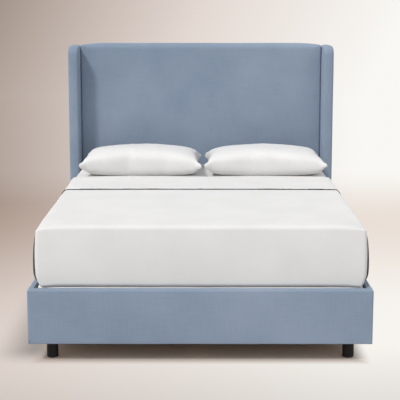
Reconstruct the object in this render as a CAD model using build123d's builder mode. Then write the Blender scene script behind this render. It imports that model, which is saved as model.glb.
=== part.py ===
# Wingback upholstered bed for a 60 by 80 inch mattress, in millimetres.
# The origin is on the floor under the middle of the bed; +Y is the head end, +Z is up.
from build123d import *
import os

os.makedirs("parts", exist_ok=True)

# Whole bed
bed_length = 2184
inside_width = 1546
ground_gap = 88

# Clearances and overruns
soft_gap = 0.3
hole_gap = 0.2
cut_over = 5
touch = 0.01

# Fabric
cover_thickness = 2
staple_margin = 34
rail_end_margin = 92
wing_staple_margin = 14

# Headboard
headboard_height = 1409
headboard_depth = 100
shoulder_drop = 9
shoulder_run = 165
headboard_edge_radius = 36
headboard_top_pad = 12
frame_depth = 38
stile_width = 70
frame_rail_height = 90
panel_thickness = 6
frame_rail_share = (0.0, 0.30, 0.62, 1.0)

# Wings
wing_thickness = 67
wing_reach = 115
wing_drop = 10
wing_corner_radius = 60
wing_edge_radius = 20
wing_pad = 12
wing_frame_border = 52
wing_bay_share = (0.04, 0.36, 0.68)
wing_bay_height_share = 0.27

# Rails
rail_height = 259
foot_rail_thickness = 40
side_rail_thickness = 27
rail_edge_radius = 9
foot_board_thickness = 24
side_board_thickness = 18
rail_top_pad = 10

# Legs
leg_diameter = 54
leg_foot_bevel = 2
leg_inset_x = 101.5
leg_inset_y = 92
rear_leg_inset = 62
nail_glide_diameter = 26
nail_glide_height = 3
leg_plate_size = 60
leg_plate_thickness = 2.5
leg_plate_radius = 12
corner_block_size = 132

# Bolts
bolt_diameter = 8
bolt_head_diameter = 16
bolt_head_height = 3.5
leg_bolt_length = 44
wing_bolt_length = 124
wing_bolt_hole_depth = 30
wing_bolt_share = (0.045, 0.35, 0.75)

# Corner irons and head plates
iron_thickness = 3
iron_height = 150
iron_arm = 48
iron_bolt_reach = 30
iron_bolt_depth = 19
wing_plate_bolt_depth = 36
iron_rise = 57
iron_bolt_share = (-0.3, 0.3)
iron_end_radius = 2.5
head_plate_length = 150
head_plate_corner_radius = 10
head_plate_bolt_share = (-0.32, 0.32)

# Slats and centre support
ledger_height = 35
ledger_width = 22
slat_count = 5
slat_width = 89
slat_thickness = 19
slat_edge_radius = 3
slat_end_gap = 3
slat_first_inset = 150
beam_width = 70
centre_leg_diameter = 40
centre_leg_share = (-0.29, 0.0, 0.29)
glide_diameter = 38
glide_height = 8
glide_edge_bevel = 2
stem_diameter = 10
stem_length = 42
stem_bore_depth = 46

# Box spring
box_side_gap = 11
box_spring_height = 203
box_spring_end_gap = 6
box_spring_corner = 55
box_spring_edge_radius = 12
box_frame_width = 60
box_frame_height = 38
box_slat_count = 9
box_slat_width = 64
box_deck_height = 19
box_pad = 14
box_post_size = 38
box_post_rows = 5
dust_cloth_thickness = 1

# Mattress and bedding
mattress_height = 279
mattress_corner = 80
mattress_side_taper = 1.2
mattress_top_radius = 22
mattress_bottom_radius = 40
mattress_overhang = 2
mattress_head_gap = 13
ticking_thickness = 3
sheet_thickness = 2
tuck_depth = 90
fold_reach = 620
cuff_depth = 380
trim_width = 9
side_trim_inset = 62
sheet_layers = 3
side_trim_width = 14
cuff_hang = 40

# Pillows
pillow_margin = 16
pillow_depth = 505
pillow_height = 165
pillow_gap = 3
pillow_shift = 13
pillow_head_gap = 75
pillow_station_share = (0.0, 0.45, 0.70, 0.87, 1.0)
pillow_depth_share = (1.0, 0.985, 0.96, 0.93, 0.92)
pillow_height_share = (1.0, 0.985, 0.93, 0.70, 0.08)
pillow_base_share = (0.0, 0.0, 0.01, 0.06, 0.30)
pillow_seam_share = 0.42
pillow_seat_share = 0.76

# Places worked out from the sizes above
foot_y = -bed_length / 2
back_y = bed_length / 2
face_y = back_y - headboard_depth
wing_front_y = face_y - wing_reach
wing_inner_x = inside_width / 2
wing_outer_x = wing_inner_x + wing_thickness
wing_top = headboard_height - wing_drop
rail_inner_x = inside_width / 2
rail_outer_x = rail_inner_x + side_rail_thickness
rail_top = ground_gap + rail_height
foot_inner_y = foot_y + foot_rail_thickness
ledger_top = ground_gap + ledger_height
slat_top = ledger_top + slat_thickness
box_top = slat_top + box_spring_height
box_foot_y = foot_inner_y + box_spring_end_gap
box_head_y = face_y - box_spring_end_gap
box_spring_width = inside_width - 2 * box_side_gap
mattress_width = box_spring_width
sheet_step = sheet_thickness + soft_gap
mattress_bottom = box_top + soft_gap + sheet_step * 2
mattress_top = mattress_bottom + mattress_height
mattress_foot_y = foot_inner_y - mattress_overhang + sheet_step
mattress_head_y = face_y - mattress_head_gap
fold_y = face_y - fold_reach
cuff_y = fold_y - cuff_depth


def save(block, label):
    block.part.label = label
    export_step(block.part, f"parts/{label}.step")


def save_pair(block, label):
    # The right-hand piece as built, and its mirror image for the left
    save(block, f"{label}_right")
    with BuildPart() as twin:
        mirror(block.part, about=Plane.YZ)
    save(twin, f"{label}_left")


def plain_block(low, high):
    # A plain block between two corner points
    with BuildPart(Plane(origin=low)) as block:
        Box(*(high[i] - low[i] for i in range(3)), align=(Align.MIN, Align.MIN, Align.MIN))
    return block.part


def crowned_slab(inset, back, depth, radius):
    # The headboard's outline, flat on top with shoulders that fall away, brought in by an inset
    half = wing_inner_x - soft_gap - inset
    top = headboard_height - inset
    shoulder = top - shoulder_drop
    bottom = ground_gap + inset
    with BuildPart() as slab:
        with BuildSketch(Plane.XZ.offset(-back)):
            with BuildLine():
                Line((shoulder_run - half, top), (half - shoulder_run, top))
                TangentArc((half - shoulder_run, top), (half, shoulder), tangent=(1, 0))
                Polyline((half, shoulder), (half, bottom), (-half, bottom), (-half, shoulder))
                TangentArc((shoulder_run - half, top), (-half, shoulder), tangent=(-1, 0))
            make_face()
        extrude(amount=depth)
        if radius:
            front = slab.faces().sort_by(Axis.Y)[0]
            fillet([e for e in front.edges() if e.center().Z > shoulder - touch], radius=radius)
    return slab.part


def wing_slab(inset, pad_inset, radius):
    # The wing's side outline with its rounded upper front corner, brought in by its insets
    front = wing_front_y + pad_inset
    back = back_y - inset
    bottom = ground_gap + inset
    top = wing_top - pad_inset
    with BuildPart() as slab:
        with BuildSketch(Plane.YZ.offset(wing_inner_x + pad_inset)) as outline:
            with BuildLine():
                Polyline((front, bottom), (back, bottom), (back, top), (front, top), close=True)
            make_face()
            corner = outline.vertices().group_by(Axis.X)[0].sort_by(Axis.Y)[-1]
            fillet(corner, radius=wing_corner_radius - pad_inset)
        extrude(amount=wing_thickness - 2 * pad_inset)
        if radius:
            sides = slab.faces().filter_by(Axis.X).edges()
            fillet(
                [e for e in sides if e.center().Y < back - touch and e.center().Z > bottom + touch],
                radius=radius,
            )
    return slab.part


def foot_rail_block(inset, radius):
    # The foot rail's upholstered outline, rounded on its front and on the top of its ends
    low = (-rail_outer_x + inset, foot_y + inset, ground_gap + inset)
    high = (rail_outer_x - inset, foot_inner_y - inset, rail_top - inset)
    with BuildPart() as block:
        add(plain_block(low, high))
        front = block.faces().sort_by(Axis.Y)[0].edges()
        ends = block.faces().sort_by(Axis.Z)[-1].edges().filter_by(Axis.Y)
        fillet(front + ends, radius=radius)
    return block.part


def side_rail_block(inset, radius):
    # The right-hand rail's upholstered outline, rounded along its outer face
    low = (rail_inner_x + inset, foot_inner_y + inset, ground_gap + inset)
    high = (rail_outer_x - inset, wing_front_y - inset, rail_top - inset)
    with BuildPart() as block:
        add(plain_block(low, high))
        fillet(block.faces().sort_by(Axis.X)[-1].edges().filter_by(Axis.Y), radius=radius)
    return block.part


def box_spring_block(inset, bottom, top, radius):
    # The box spring's outline with its rounded plan corners, between two heights
    low_y = box_foot_y + inset
    high_y = box_head_y - inset
    with BuildPart() as block:
        with BuildSketch(Plane.XY.offset(bottom)):
            with Locations((0, (low_y + high_y) / 2)):
                RectangleRounded(box_spring_width - 2 * inset, high_y - low_y, box_spring_corner - inset)
        extrude(amount=top - bottom)
        if radius:
            fillet(block.edges().group_by(Axis.Z)[-1], radius=radius)
    return block.part


def mattress_block(grow):
    # The mattress outline, widest at its middle height, grown by the cloth that lies over it
    low_y = mattress_foot_y - grow
    high_y = mattress_head_y + grow
    half_height = mattress_height / 2 + grow
    with BuildPart() as block:
        with BuildSketch(Plane.XY.offset(mattress_bottom + mattress_height / 2)):
            with Locations((0, (low_y + high_y) / 2)):
                RectangleRounded(mattress_width + 2 * grow, high_y - low_y, mattress_corner + grow)
        extrude(amount=half_height, both=True, taper=mattress_side_taper)
        fillet(block.edges().group_by(Axis.Z)[-1], radius=mattress_top_radius + grow)
        fillet(block.edges().group_by(Axis.Z)[0], radius=mattress_bottom_radius + grow)
    return block.part


def spaced(low, high, count):
    # Evenly spaced places from the first to the last
    return [low + (high - low) * i / (count - 1) for i in range(count)]


# Headboard: cover
outer = crowned_slab(0, back_y, headboard_depth, headboard_edge_radius)
inner = crowned_slab(
    cover_thickness,
    back_y - cover_thickness,
    headboard_depth - 2 * cover_thickness,
    headboard_edge_radius - cover_thickness,
)
back_window = crowned_slab(staple_margin, back_y + cut_over, cut_over + 2 * cover_thickness, 0)
wing_bolt_z = [rail_top + (wing_top - rail_top) * s for s in wing_bolt_share]
wing_bolt_y = back_y - cover_thickness - frame_depth / 2
wing_bolt_places = [(wing_bolt_y, z) for z in wing_bolt_z]
with BuildPart() as headboard_cover:
    add(outer)
    add(inner, mode=Mode.SUBTRACT)
    add(back_window, mode=Mode.SUBTRACT)
    for side in (-1, 1):
        with BuildSketch(Plane.YZ.offset(side * wing_inner_x)):
            with Locations(*wing_bolt_places):
                Circle(bolt_diameter / 2 + hole_gap)
        extrude(amount=cover_thickness + cut_over, both=True, mode=Mode.SUBTRACT)
save(headboard_cover, "headboard_cover")

# Headboard: back cloth inside the stapled margin of the cover
with BuildPart() as headboard_back_cloth:
    add(crowned_slab(staple_margin + soft_gap, back_y - soft_gap, cover_thickness - soft_gap, 0))
save(headboard_back_cloth, "headboard_back_cloth")

# Headboard: pad that covers the panel and the frame's top
board_front = back_y - cover_thickness - frame_depth - panel_thickness
board_inset = cover_thickness + soft_gap
pad_depth = headboard_depth - 2 * cover_thickness - soft_gap
with BuildPart() as headboard_pad:
    add(
        crowned_slab(
            board_inset,
            back_y - cover_thickness,
            pad_depth,
            headboard_edge_radius - board_inset,
        )
    )
    add(
        plain_block(
            (-wing_outer_x, board_front, 0),
            (wing_outer_x, back_y, headboard_height - board_inset - shoulder_drop),
        ),
        mode=Mode.SUBTRACT,
    )
    add(crowned_slab(board_inset + headboard_top_pad, back_y, back_y - board_front, 0), mode=Mode.SUBTRACT)
    for side in (-1, 1):
        with BuildSketch(Plane.YZ.offset(side * wing_inner_x)):
            with Locations(*wing_bolt_places):
                Circle(bolt_diameter / 2 + hole_gap)
        extrude(amount=headboard_top_pad * 2, both=True, mode=Mode.SUBTRACT)
save(headboard_pad, "headboard_pad")

# Headboard: timber frame of two stiles, a middle stile and four rails
board_back = back_y - cover_thickness
frame_inset = board_inset + headboard_top_pad
frame_half = wing_inner_x - soft_gap - frame_inset
frame_low = ground_gap + frame_inset
frame_high = headboard_height - frame_inset - shoulder_drop
frame_rail_z = [frame_low + (frame_high - frame_low - frame_rail_height) * s for s in frame_rail_share]
bay_width = frame_half - stile_width * 3 / 2
bay_centre = stile_width / 2 + bay_width / 2
with BuildPart() as headboard_frame:
    add(crowned_slab(frame_inset, board_back, frame_depth, 0))
    with BuildSketch(Plane.XZ.offset(-board_back)):
        for low, high in zip(frame_rail_z[:-1], frame_rail_z[1:]):
            bay_low = low + frame_rail_height
            with Locations((-bay_centre, (bay_low + high) / 2), (bay_centre, (bay_low + high) / 2)):
                Rectangle(bay_width, high - bay_low)
    extrude(amount=frame_depth, mode=Mode.SUBTRACT)
    for side in (-1, 1):
        with BuildSketch(Plane.YZ.offset(side * (frame_half - stile_width / 2))):
            with Locations(*wing_bolt_places):
                Circle(bolt_diameter / 2 + hole_gap)
        extrude(amount=stile_width / 2 + cut_over, both=True, mode=Mode.SUBTRACT)
save(headboard_frame, "headboard_frame")

# Headboard: thin panel on the frame's front
with BuildPart() as headboard_panel:
    add(crowned_slab(frame_inset, board_back - frame_depth, panel_thickness, 0))
save(headboard_panel, "headboard_panel")

# Wings: places shared by their layers
wing_core_x = wing_inner_x + board_inset + wing_pad
plate_z = [ground_gap + iron_rise + iron_height * (0.5 + s) for s in iron_bolt_share]
plate_wing_y = wing_front_y + head_plate_length * head_plate_bolt_share[1]
plate_rail_y = wing_front_y + head_plate_length * head_plate_bolt_share[0]
wing_holes = wing_bolt_places + [(plate_wing_y, z) for z in plate_z]
rear_leg_y = back_y - rear_leg_inset
rear_leg_x = (wing_inner_x + wing_outer_x) / 2

# Wings: fabric cover, open underneath where it is stapled
with BuildPart() as wing_cover:
    add(wing_slab(0, 0, wing_edge_radius))
    add(
        wing_slab(cover_thickness, cover_thickness, wing_edge_radius - cover_thickness),
        mode=Mode.SUBTRACT,
    )
    add(
        plain_block(
            (wing_inner_x + wing_staple_margin, wing_front_y + staple_margin, ground_gap - cut_over),
            (wing_outer_x - wing_staple_margin, back_y - staple_margin, ground_gap + 2 * cover_thickness),
        ),
        mode=Mode.SUBTRACT,
    )
    with BuildSketch(Plane.YZ.offset(wing_inner_x - cut_over)):
        with Locations(*wing_holes):
            Circle(bolt_diameter / 2 + hole_gap)
    extrude(amount=wing_thickness / 2, mode=Mode.SUBTRACT)
save_pair(wing_cover, "wing_cover")

# Wings: pad round the front, top and both sides of the frame
with BuildPart() as wing_foam:
    add(wing_slab(board_inset, board_inset, wing_edge_radius - board_inset))
    add(wing_slab(-cut_over, board_inset + wing_pad, 0), mode=Mode.SUBTRACT)
    with BuildSketch(Plane.YZ.offset(wing_inner_x - cut_over)):
        with Locations(*wing_holes):
            Circle(bolt_diameter / 2 + hole_gap)
    extrude(amount=wing_thickness / 2, mode=Mode.SUBTRACT)
save_pair(wing_foam, "wing_pad")

# Wings: timber frame with three bays
wing_frame_front = wing_front_y + board_inset + wing_pad
wing_frame_back = back_y - board_inset
wing_frame_low = ground_gap + board_inset
wing_frame_height = wing_top - board_inset - wing_pad - wing_frame_low
with BuildPart() as wing_frame:
    add(wing_slab(board_inset, board_inset + wing_pad, 0))
    with BuildSketch(Plane.YZ.offset(wing_core_x - cut_over)):
        for share in wing_bay_share:
            bay_height = wing_frame_height * wing_bay_height_share
            bay_z = wing_frame_low + wing_frame_height * share + bay_height / 2
            with Locations(((wing_frame_front + wing_frame_back) / 2, bay_z)):
                Rectangle(wing_frame_back - wing_frame_front - 2 * wing_frame_border, bay_height)
    extrude(amount=wing_thickness, mode=Mode.SUBTRACT)
    with BuildSketch(Plane.YZ.offset(wing_core_x - cut_over)):
        with Locations(*wing_holes):
            Circle(bolt_diameter / 2 + hole_gap)
    extrude(amount=cut_over + wing_bolt_hole_depth, mode=Mode.SUBTRACT)
    with BuildSketch(Plane.XY.offset(ground_gap - cut_over)):
        with Locations((rear_leg_x, rear_leg_y)):
            Circle(bolt_diameter / 2 + hole_gap)
    extrude(amount=cut_over + leg_bolt_length / 2, mode=Mode.SUBTRACT)
save_pair(wing_frame, "wing_frame")

# Wings: bolts from inside the headboard frame into each wing
with BuildPart() as wing_bolts:
    with BuildSketch(Plane.YZ.offset(frame_half - stile_width)):
        with Locations(*wing_bolt_places):
            Circle(bolt_diameter / 2)
    extrude(amount=wing_bolt_length)
    with BuildSketch(Plane.YZ.offset(frame_half - stile_width)):
        with Locations(*wing_bolt_places):
            RegularPolygon(bolt_head_diameter / 2, 6)
    extrude(amount=-bolt_head_height)
save_pair(wing_bolts, "wing_bolts")

# Foot rail: cover, pad and board
leg_x = rail_outer_x - leg_inset_x
leg_y = foot_y + leg_inset_y
iron_x = rail_inner_x - iron_bolt_reach
iron_y = foot_inner_y + iron_bolt_reach
foot_board_low = (
    -rail_outer_x + board_inset + rail_top_pad,
    foot_inner_y - cover_thickness - foot_board_thickness,
    ground_gap + board_inset,
)
foot_board_high = (
    rail_outer_x - board_inset - rail_top_pad,
    foot_inner_y - cover_thickness,
    rail_top - board_inset - rail_top_pad,
)
foot_bolt_places = [(side * iron_x, z) for side in (-1, 1) for z in plate_z]
with BuildPart() as foot_rail_cover:
    add(foot_rail_block(0, rail_edge_radius))
    add(foot_rail_block(cover_thickness, rail_edge_radius - cover_thickness), mode=Mode.SUBTRACT)
    add(
        plain_block(
            (-rail_outer_x + rail_end_margin, foot_inner_y - 2 * cover_thickness, ground_gap + staple_margin),
            (rail_outer_x - rail_end_margin, foot_inner_y + cut_over, rail_top - staple_margin),
        ),
        mode=Mode.SUBTRACT,
    )
    with BuildSketch(Plane.XZ.offset(-foot_inner_y)):
        with Locations(*foot_bolt_places):
            Circle(bolt_diameter / 2 + hole_gap)
    extrude(amount=cover_thickness * 2, mode=Mode.SUBTRACT)
save(foot_rail_cover, "foot_rail_cover")

with BuildPart() as foot_rail_pad:
    add(foot_rail_block(board_inset, rail_edge_radius - board_inset))
    add(
        plain_block(
            (foot_board_low[0], foot_board_low[1], ground_gap),
            (foot_board_high[0], foot_inner_y, foot_board_high[2]),
        ),
        mode=Mode.SUBTRACT,
    )
save(foot_rail_pad, "foot_rail_pad")

with BuildPart() as foot_rail_board:
    add(plain_block(foot_board_low, foot_board_high))
    with BuildSketch(Plane.XZ.offset(-foot_inner_y)):
        with Locations(*foot_bolt_places):
            Circle(bolt_diameter / 2 + hole_gap)
    extrude(amount=iron_bolt_depth, mode=Mode.SUBTRACT)
save(foot_rail_board, "foot_rail_board")

# Side rails: cover, pad and board
side_board_low = (
    rail_inner_x + cover_thickness,
    foot_inner_y + board_inset,
    ground_gap + board_inset,
)
side_board_high = (
    rail_inner_x + cover_thickness + side_board_thickness,
    wing_front_y - board_inset,
    rail_top - board_inset - rail_top_pad,
)
side_bolt_places = [(y, z) for y in (iron_y, plate_rail_y) for z in plate_z]
with BuildPart() as side_rail_cover:
    add(side_rail_block(0, rail_edge_radius))
    add(side_rail_block(cover_thickness, rail_edge_radius - cover_thickness), mode=Mode.SUBTRACT)
    add(
        plain_block(
            (rail_inner_x - cut_over, foot_inner_y + rail_end_margin, ground_gap + staple_margin),
            (rail_inner_x + 2 * cover_thickness, wing_front_y - rail_end_margin, rail_top - staple_margin),
        ),
        mode=Mode.SUBTRACT,
    )
    with BuildSketch(Plane.YZ.offset(rail_inner_x - cut_over)):
        with Locations(*side_bolt_places):
            Circle(bolt_diameter / 2 + hole_gap)
    extrude(amount=cut_over + cover_thickness * 2, mode=Mode.SUBTRACT)
save_pair(side_rail_cover, "side_rail_cover")

with BuildPart() as side_rail_pad:
    add(side_rail_block(board_inset, rail_edge_radius - board_inset))
    add(
        plain_block(
            (rail_inner_x, foot_inner_y, ground_gap),
            (side_board_high[0], wing_front_y, side_board_high[2]),
        ),
        mode=Mode.SUBTRACT,
    )
save_pair(side_rail_pad, "side_rail_pad")

with BuildPart() as side_rail_board:
    add(plain_block(side_board_low, side_board_high))
    with BuildSketch(Plane.YZ.offset(rail_inner_x)):
        with Locations(*side_bolt_places):
            Circle(bolt_diameter / 2 + hole_gap)
    extrude(amount=iron_bolt_depth, mode=Mode.SUBTRACT)
save_pair(side_rail_board, "side_rail_board")

# Corner irons at the foot, one angle in each inner corner
with BuildPart() as corner_iron:
    with BuildSketch(Plane.XY.offset(ground_gap + iron_rise)):
        with BuildLine():
            Polyline(
                (rail_inner_x, foot_inner_y),
                (rail_inner_x, foot_inner_y + iron_arm),
                (rail_inner_x - iron_thickness, foot_inner_y + iron_arm),
                (rail_inner_x - iron_thickness, foot_inner_y + iron_thickness),
                (rail_inner_x - iron_arm, foot_inner_y + iron_thickness),
                (rail_inner_x - iron_arm, foot_inner_y),
                close=True,
            )
        make_face()
    extrude(amount=iron_height)
    with BuildSketch(Plane.XZ.offset(-foot_inner_y - cut_over)):
        with Locations(*[(iron_x, z) for z in plate_z]):
            Circle(bolt_diameter / 2 + hole_gap)
    extrude(amount=2 * cut_over, mode=Mode.SUBTRACT)
    with BuildSketch(Plane.YZ.offset(rail_inner_x - cut_over)):
        with Locations(*[(iron_y, z) for z in plate_z]):
            Circle(bolt_diameter / 2 + hole_gap)
    extrude(amount=2 * cut_over, mode=Mode.SUBTRACT)
    fillet(
        corner_iron.edges().filter_by(Axis.X).group_by(Axis.Y)[-1]
        + corner_iron.edges().filter_by(Axis.Y).group_by(Axis.X)[0],
        radius=iron_end_radius,
    )
save_pair(corner_iron, "corner_iron")

# Head plates, straight across the joint of each side rail and its wing
with BuildPart() as head_plate:
    with BuildSketch(Plane.YZ.offset(rail_inner_x)):
        with Locations((wing_front_y, ground_gap + iron_rise + iron_height / 2)):
            RectangleRounded(head_plate_length, iron_height, head_plate_corner_radius)
        with Locations(*[(y, z) for y in (plate_rail_y, plate_wing_y) for z in plate_z]):
            Circle(bolt_diameter / 2 + hole_gap, mode=Mode.SUBTRACT)
    extrude(amount=-iron_thickness)
save_pair(head_plate, "head_plate")

# Rail bolts: through the irons and head plates into the boards and the wing frames
with BuildPart() as rail_bolts:
    with BuildSketch(Plane.XZ.offset(-foot_inner_y - iron_thickness)):
        with Locations(*[(iron_x, z) for z in plate_z]):
            Circle(bolt_diameter / 2)
    extrude(amount=iron_bolt_depth)
    with BuildSketch(Plane.XZ.offset(-foot_inner_y - iron_thickness)):
        with Locations(*[(iron_x, z) for z in plate_z]):
            Circle(bolt_head_diameter / 2)
    extrude(amount=-bolt_head_height)
    with BuildSketch(Plane.YZ.offset(rail_inner_x - iron_thickness)):
        with Locations(*side_bolt_places):
            Circle(bolt_diameter / 2)
    extrude(amount=iron_bolt_depth)
    with BuildSketch(Plane.YZ.offset(rail_inner_x - iron_thickness)):
        with Locations(*[(plate_wing_y, z) for z in plate_z]):
            Circle(bolt_diameter / 2)
    extrude(amount=wing_plate_bolt_depth)
    with BuildSketch(Plane.YZ.offset(rail_inner_x - iron_thickness)):
        with Locations(*side_bolt_places + [(plate_wing_y, z) for z in plate_z]):
            Circle(bolt_head_diameter / 2)
    extrude(amount=-bolt_head_height)
save_pair(rail_bolts, "rail_bolts")

# Corner blocks that hold the front legs
with BuildPart() as corner_block:
    with BuildSketch(Plane.XY.offset(ground_gap)):
        with BuildLine():
            Polyline(
                (rail_inner_x, foot_inner_y),
                (rail_inner_x, foot_inner_y + corner_block_size),
                (rail_inner_x - corner_block_size / 2, foot_inner_y + corner_block_size),
                (rail_inner_x - corner_block_size, foot_inner_y + corner_block_size / 2),
                (rail_inner_x - corner_block_size, foot_inner_y),
                close=True,
            )
        make_face()
    extrude(amount=ledger_height)
    with BuildSketch(Plane.XY.offset(ground_gap)):
        with Locations((leg_x, leg_y)):
            Circle(bolt_diameter / 2 + hole_gap)
    extrude(amount=leg_bolt_length / 2, mode=Mode.SUBTRACT)
save_pair(corner_block, "corner_block")

# Legs: turned black feet with a nail glide below and a steel plate above
plate_bottom = ground_gap - leg_plate_thickness
for name, place in (("front_leg", (leg_x, leg_y)), ("rear_leg", (rear_leg_x, rear_leg_y))):
    with BuildPart() as leg:
        with BuildSketch(Plane.XY.offset(nail_glide_height)):
            with Locations(place):
                Circle(leg_diameter / 2)
        extrude(amount=plate_bottom - nail_glide_height)
        chamfer(leg.edges().group_by(Axis.Z)[0], length=leg_foot_bevel)
        with BuildSketch(Plane.XY.offset(plate_bottom)):
            with Locations(place):
                Circle(bolt_diameter / 2 + hole_gap)
        extrude(amount=-leg_bolt_length / 2, mode=Mode.SUBTRACT)
    save_pair(leg, name)

leg_places = [(side * x, y) for side in (-1, 1) for x, y in ((leg_x, leg_y), (rear_leg_x, rear_leg_y))]
with BuildPart() as leg_plates:
    with BuildSketch(Plane.XY.offset(plate_bottom)):
        with Locations(*leg_places):
            RectangleRounded(leg_plate_size, leg_plate_size, leg_plate_radius)
        with Locations(*leg_places):
            Circle(bolt_diameter / 2 + hole_gap, mode=Mode.SUBTRACT)
    extrude(amount=leg_plate_thickness)
save(leg_plates, "leg_plates")

with BuildPart() as leg_bolts:
    with BuildSketch(Plane.XY.offset(plate_bottom - leg_bolt_length / 2)):
        with Locations(*leg_places):
            Circle(bolt_diameter / 2)
    extrude(amount=leg_bolt_length)
save(leg_bolts, "leg_bolts")

with BuildPart() as nail_glides:
    with BuildSketch():
        with Locations(*leg_places):
            Circle(nail_glide_diameter / 2)
    extrude(amount=nail_glide_height)
save(nail_glides, "nail_glides")

# Ledgers along the side rails and wings
with BuildPart() as ledger:
    add(
        plain_block(
            (rail_inner_x - ledger_width, foot_inner_y + corner_block_size, ground_gap),
            (rail_inner_x, face_y - soft_gap, ledger_top),
        )
    )
save_pair(ledger, "side_ledger")

# Slats across the ledgers
slat_y = spaced(foot_inner_y + slat_first_inset, face_y - slat_first_inset, slat_count)
with BuildPart() as slats:
    with BuildSketch(Plane.XY.offset(ledger_top)):
        with Locations(*[(0, y) for y in slat_y]):
            Rectangle(2 * (rail_inner_x - slat_end_gap), slat_width)
    extrude(amount=slat_thickness)
    fillet(slats.edges().filter_by(Axis.X), radius=slat_edge_radius)
save(slats, "slats")

# Centre beam under the slats, from the foot rail to the headboard
with BuildPart() as centre_beam:
    add(
        plain_block(
            (-beam_width / 2, foot_inner_y, ground_gap),
            (beam_width / 2, face_y - soft_gap, ledger_top),
        )
    )
save(centre_beam, "centre_beam")

# Centre legs, each bored for its levelling glide
centre_leg_places = [(0, bed_length * share) for share in centre_leg_share]
with BuildPart() as centre_legs:
    with BuildSketch(Plane.XY.offset(glide_height + soft_gap)):
        with Locations(*centre_leg_places):
            Circle(centre_leg_diameter / 2)
    extrude(amount=ground_gap - glide_height - soft_gap)
    with BuildSketch(Plane.XY.offset(glide_height)):
        with Locations(*centre_leg_places):
            Circle(stem_diameter / 2 + hole_gap)
    extrude(amount=stem_bore_depth, mode=Mode.SUBTRACT)
save(centre_legs, "centre_legs")

# Levelling glides, a round foot on a threaded stem
for name, place in zip(("foot", "middle", "head"), centre_leg_places):
    with BuildPart() as glide:
        with BuildSketch():
            with Locations(place):
                Circle(glide_diameter / 2)
        extrude(amount=glide_height)
        chamfer(glide.edges().group_by(Axis.Z)[-1], length=glide_edge_bevel)
        with BuildSketch(Plane.XY.offset(glide_height)):
            with Locations(place):
                Circle(stem_diameter / 2)
        extrude(amount=stem_length)
    save(glide, f"centre_glide_{name}")

# Box spring: fabric cover, open underneath inside its stapled margin
with BuildPart() as box_spring_cover:
    add(box_spring_block(0, slat_top, box_top, box_spring_edge_radius))
    add(
        box_spring_block(
            cover_thickness,
            slat_top + cover_thickness,
            box_top - cover_thickness,
            box_spring_edge_radius - cover_thickness,
        ),
        mode=Mode.SUBTRACT,
    )
    add(
        box_spring_block(staple_margin, slat_top - cut_over, slat_top + 2 * cover_thickness, 0),
        mode=Mode.SUBTRACT,
    )
save(box_spring_cover, "box_spring_cover")

with BuildPart() as box_spring_dust_cloth:
    add(
        box_spring_block(
            staple_margin + soft_gap,
            slat_top + cover_thickness - dust_cloth_thickness,
            slat_top + cover_thickness,
            0,
        )
    )
save(box_spring_dust_cloth, "box_spring_dust_cloth")

# Box spring: lower frame with cross members, posts, upper frame, deck slats and pad
base_low = slat_top + cover_thickness
base_high = base_low + box_frame_height
pad_high = box_top - cover_thickness - soft_gap
deck_high = pad_high - box_pad
deck_low = deck_high - box_deck_height
upper_low = deck_low - box_frame_height
member_half = box_spring_width / 2 - board_inset - box_frame_width / 2
frame_reach = board_inset + box_frame_width
post_y = spaced(
    box_foot_y + frame_reach - box_post_size / 2,
    box_head_y - frame_reach + box_post_size / 2,
    box_post_rows,
)
for name, low, high in (("base", base_low, base_high), ("upper", upper_low, deck_low)):
    with BuildPart() as box_frame:
        add(box_spring_block(board_inset, low, high, 0))
        add(
            plain_block(
                (-member_half + box_frame_width / 2, box_foot_y + frame_reach, low - cut_over),
                (member_half - box_frame_width / 2, box_head_y - frame_reach, high + cut_over),
            ),
            mode=Mode.SUBTRACT,
        )
        with BuildSketch(Plane.XY.offset(low)):
            with Locations(*[(0, y) for y in post_y[1:-1]]):
                Rectangle(2 * member_half, box_frame_width)
        extrude(amount=high - low)
    save(box_frame, f"box_spring_{name}_frame")

with BuildPart() as box_posts:
    with BuildSketch(Plane.XY.offset(base_high)):
        with Locations(*[(x, y) for x in (-member_half, 0, member_half) for y in post_y]):
            Rectangle(box_post_size, box_post_size)
    extrude(amount=upper_low - base_high)
save(box_posts, "box_spring_posts")

with BuildPart() as box_deck:
    with BuildSketch(Plane.XY.offset(deck_low)):
        with Locations(*[(0, y) for y in spaced(post_y[0], post_y[-1], box_slat_count)]):
            Rectangle(2 * member_half, box_slat_width - 2 * board_inset)
    extrude(amount=box_deck_height)
save(box_deck, "box_spring_deck_slats")

with BuildPart() as box_pad_block:
    add(box_spring_block(board_inset, deck_high, pad_high, box_spring_edge_radius - board_inset))
save(box_pad_block, "box_spring_pad")

# Mattress: core and ticking
with BuildPart() as mattress_core:
    add(mattress_block(-ticking_thickness - soft_gap))
save(mattress_core, "mattress_core")

with BuildPart() as mattress_ticking:
    add(mattress_block(0))
    add(mattress_block(-ticking_thickness), mode=Mode.SUBTRACT)
save(mattress_ticking, "mattress_ticking")

# Fitted sheet, gathered under the mattress
tuck_half = mattress_width / 2 - tuck_depth
tuck_window = plain_block(
    (-tuck_half, mattress_foot_y + tuck_depth, mattress_bottom - sheet_layers * sheet_step),
    (tuck_half, mattress_head_y - tuck_depth, mattress_bottom + cut_over),
)
layers = [mattress_block(soft_gap + i * sheet_step) for i in range(sheet_layers)]
skins = [mattress_block((i + 1) * sheet_step) for i in range(sheet_layers)]
with BuildPart() as fitted_sheet:
    add(skins[0])
    add(layers[0], mode=Mode.SUBTRACT)
    add(tuck_window, mode=Mode.SUBTRACT)
save(fitted_sheet, "fitted_sheet")

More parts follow.
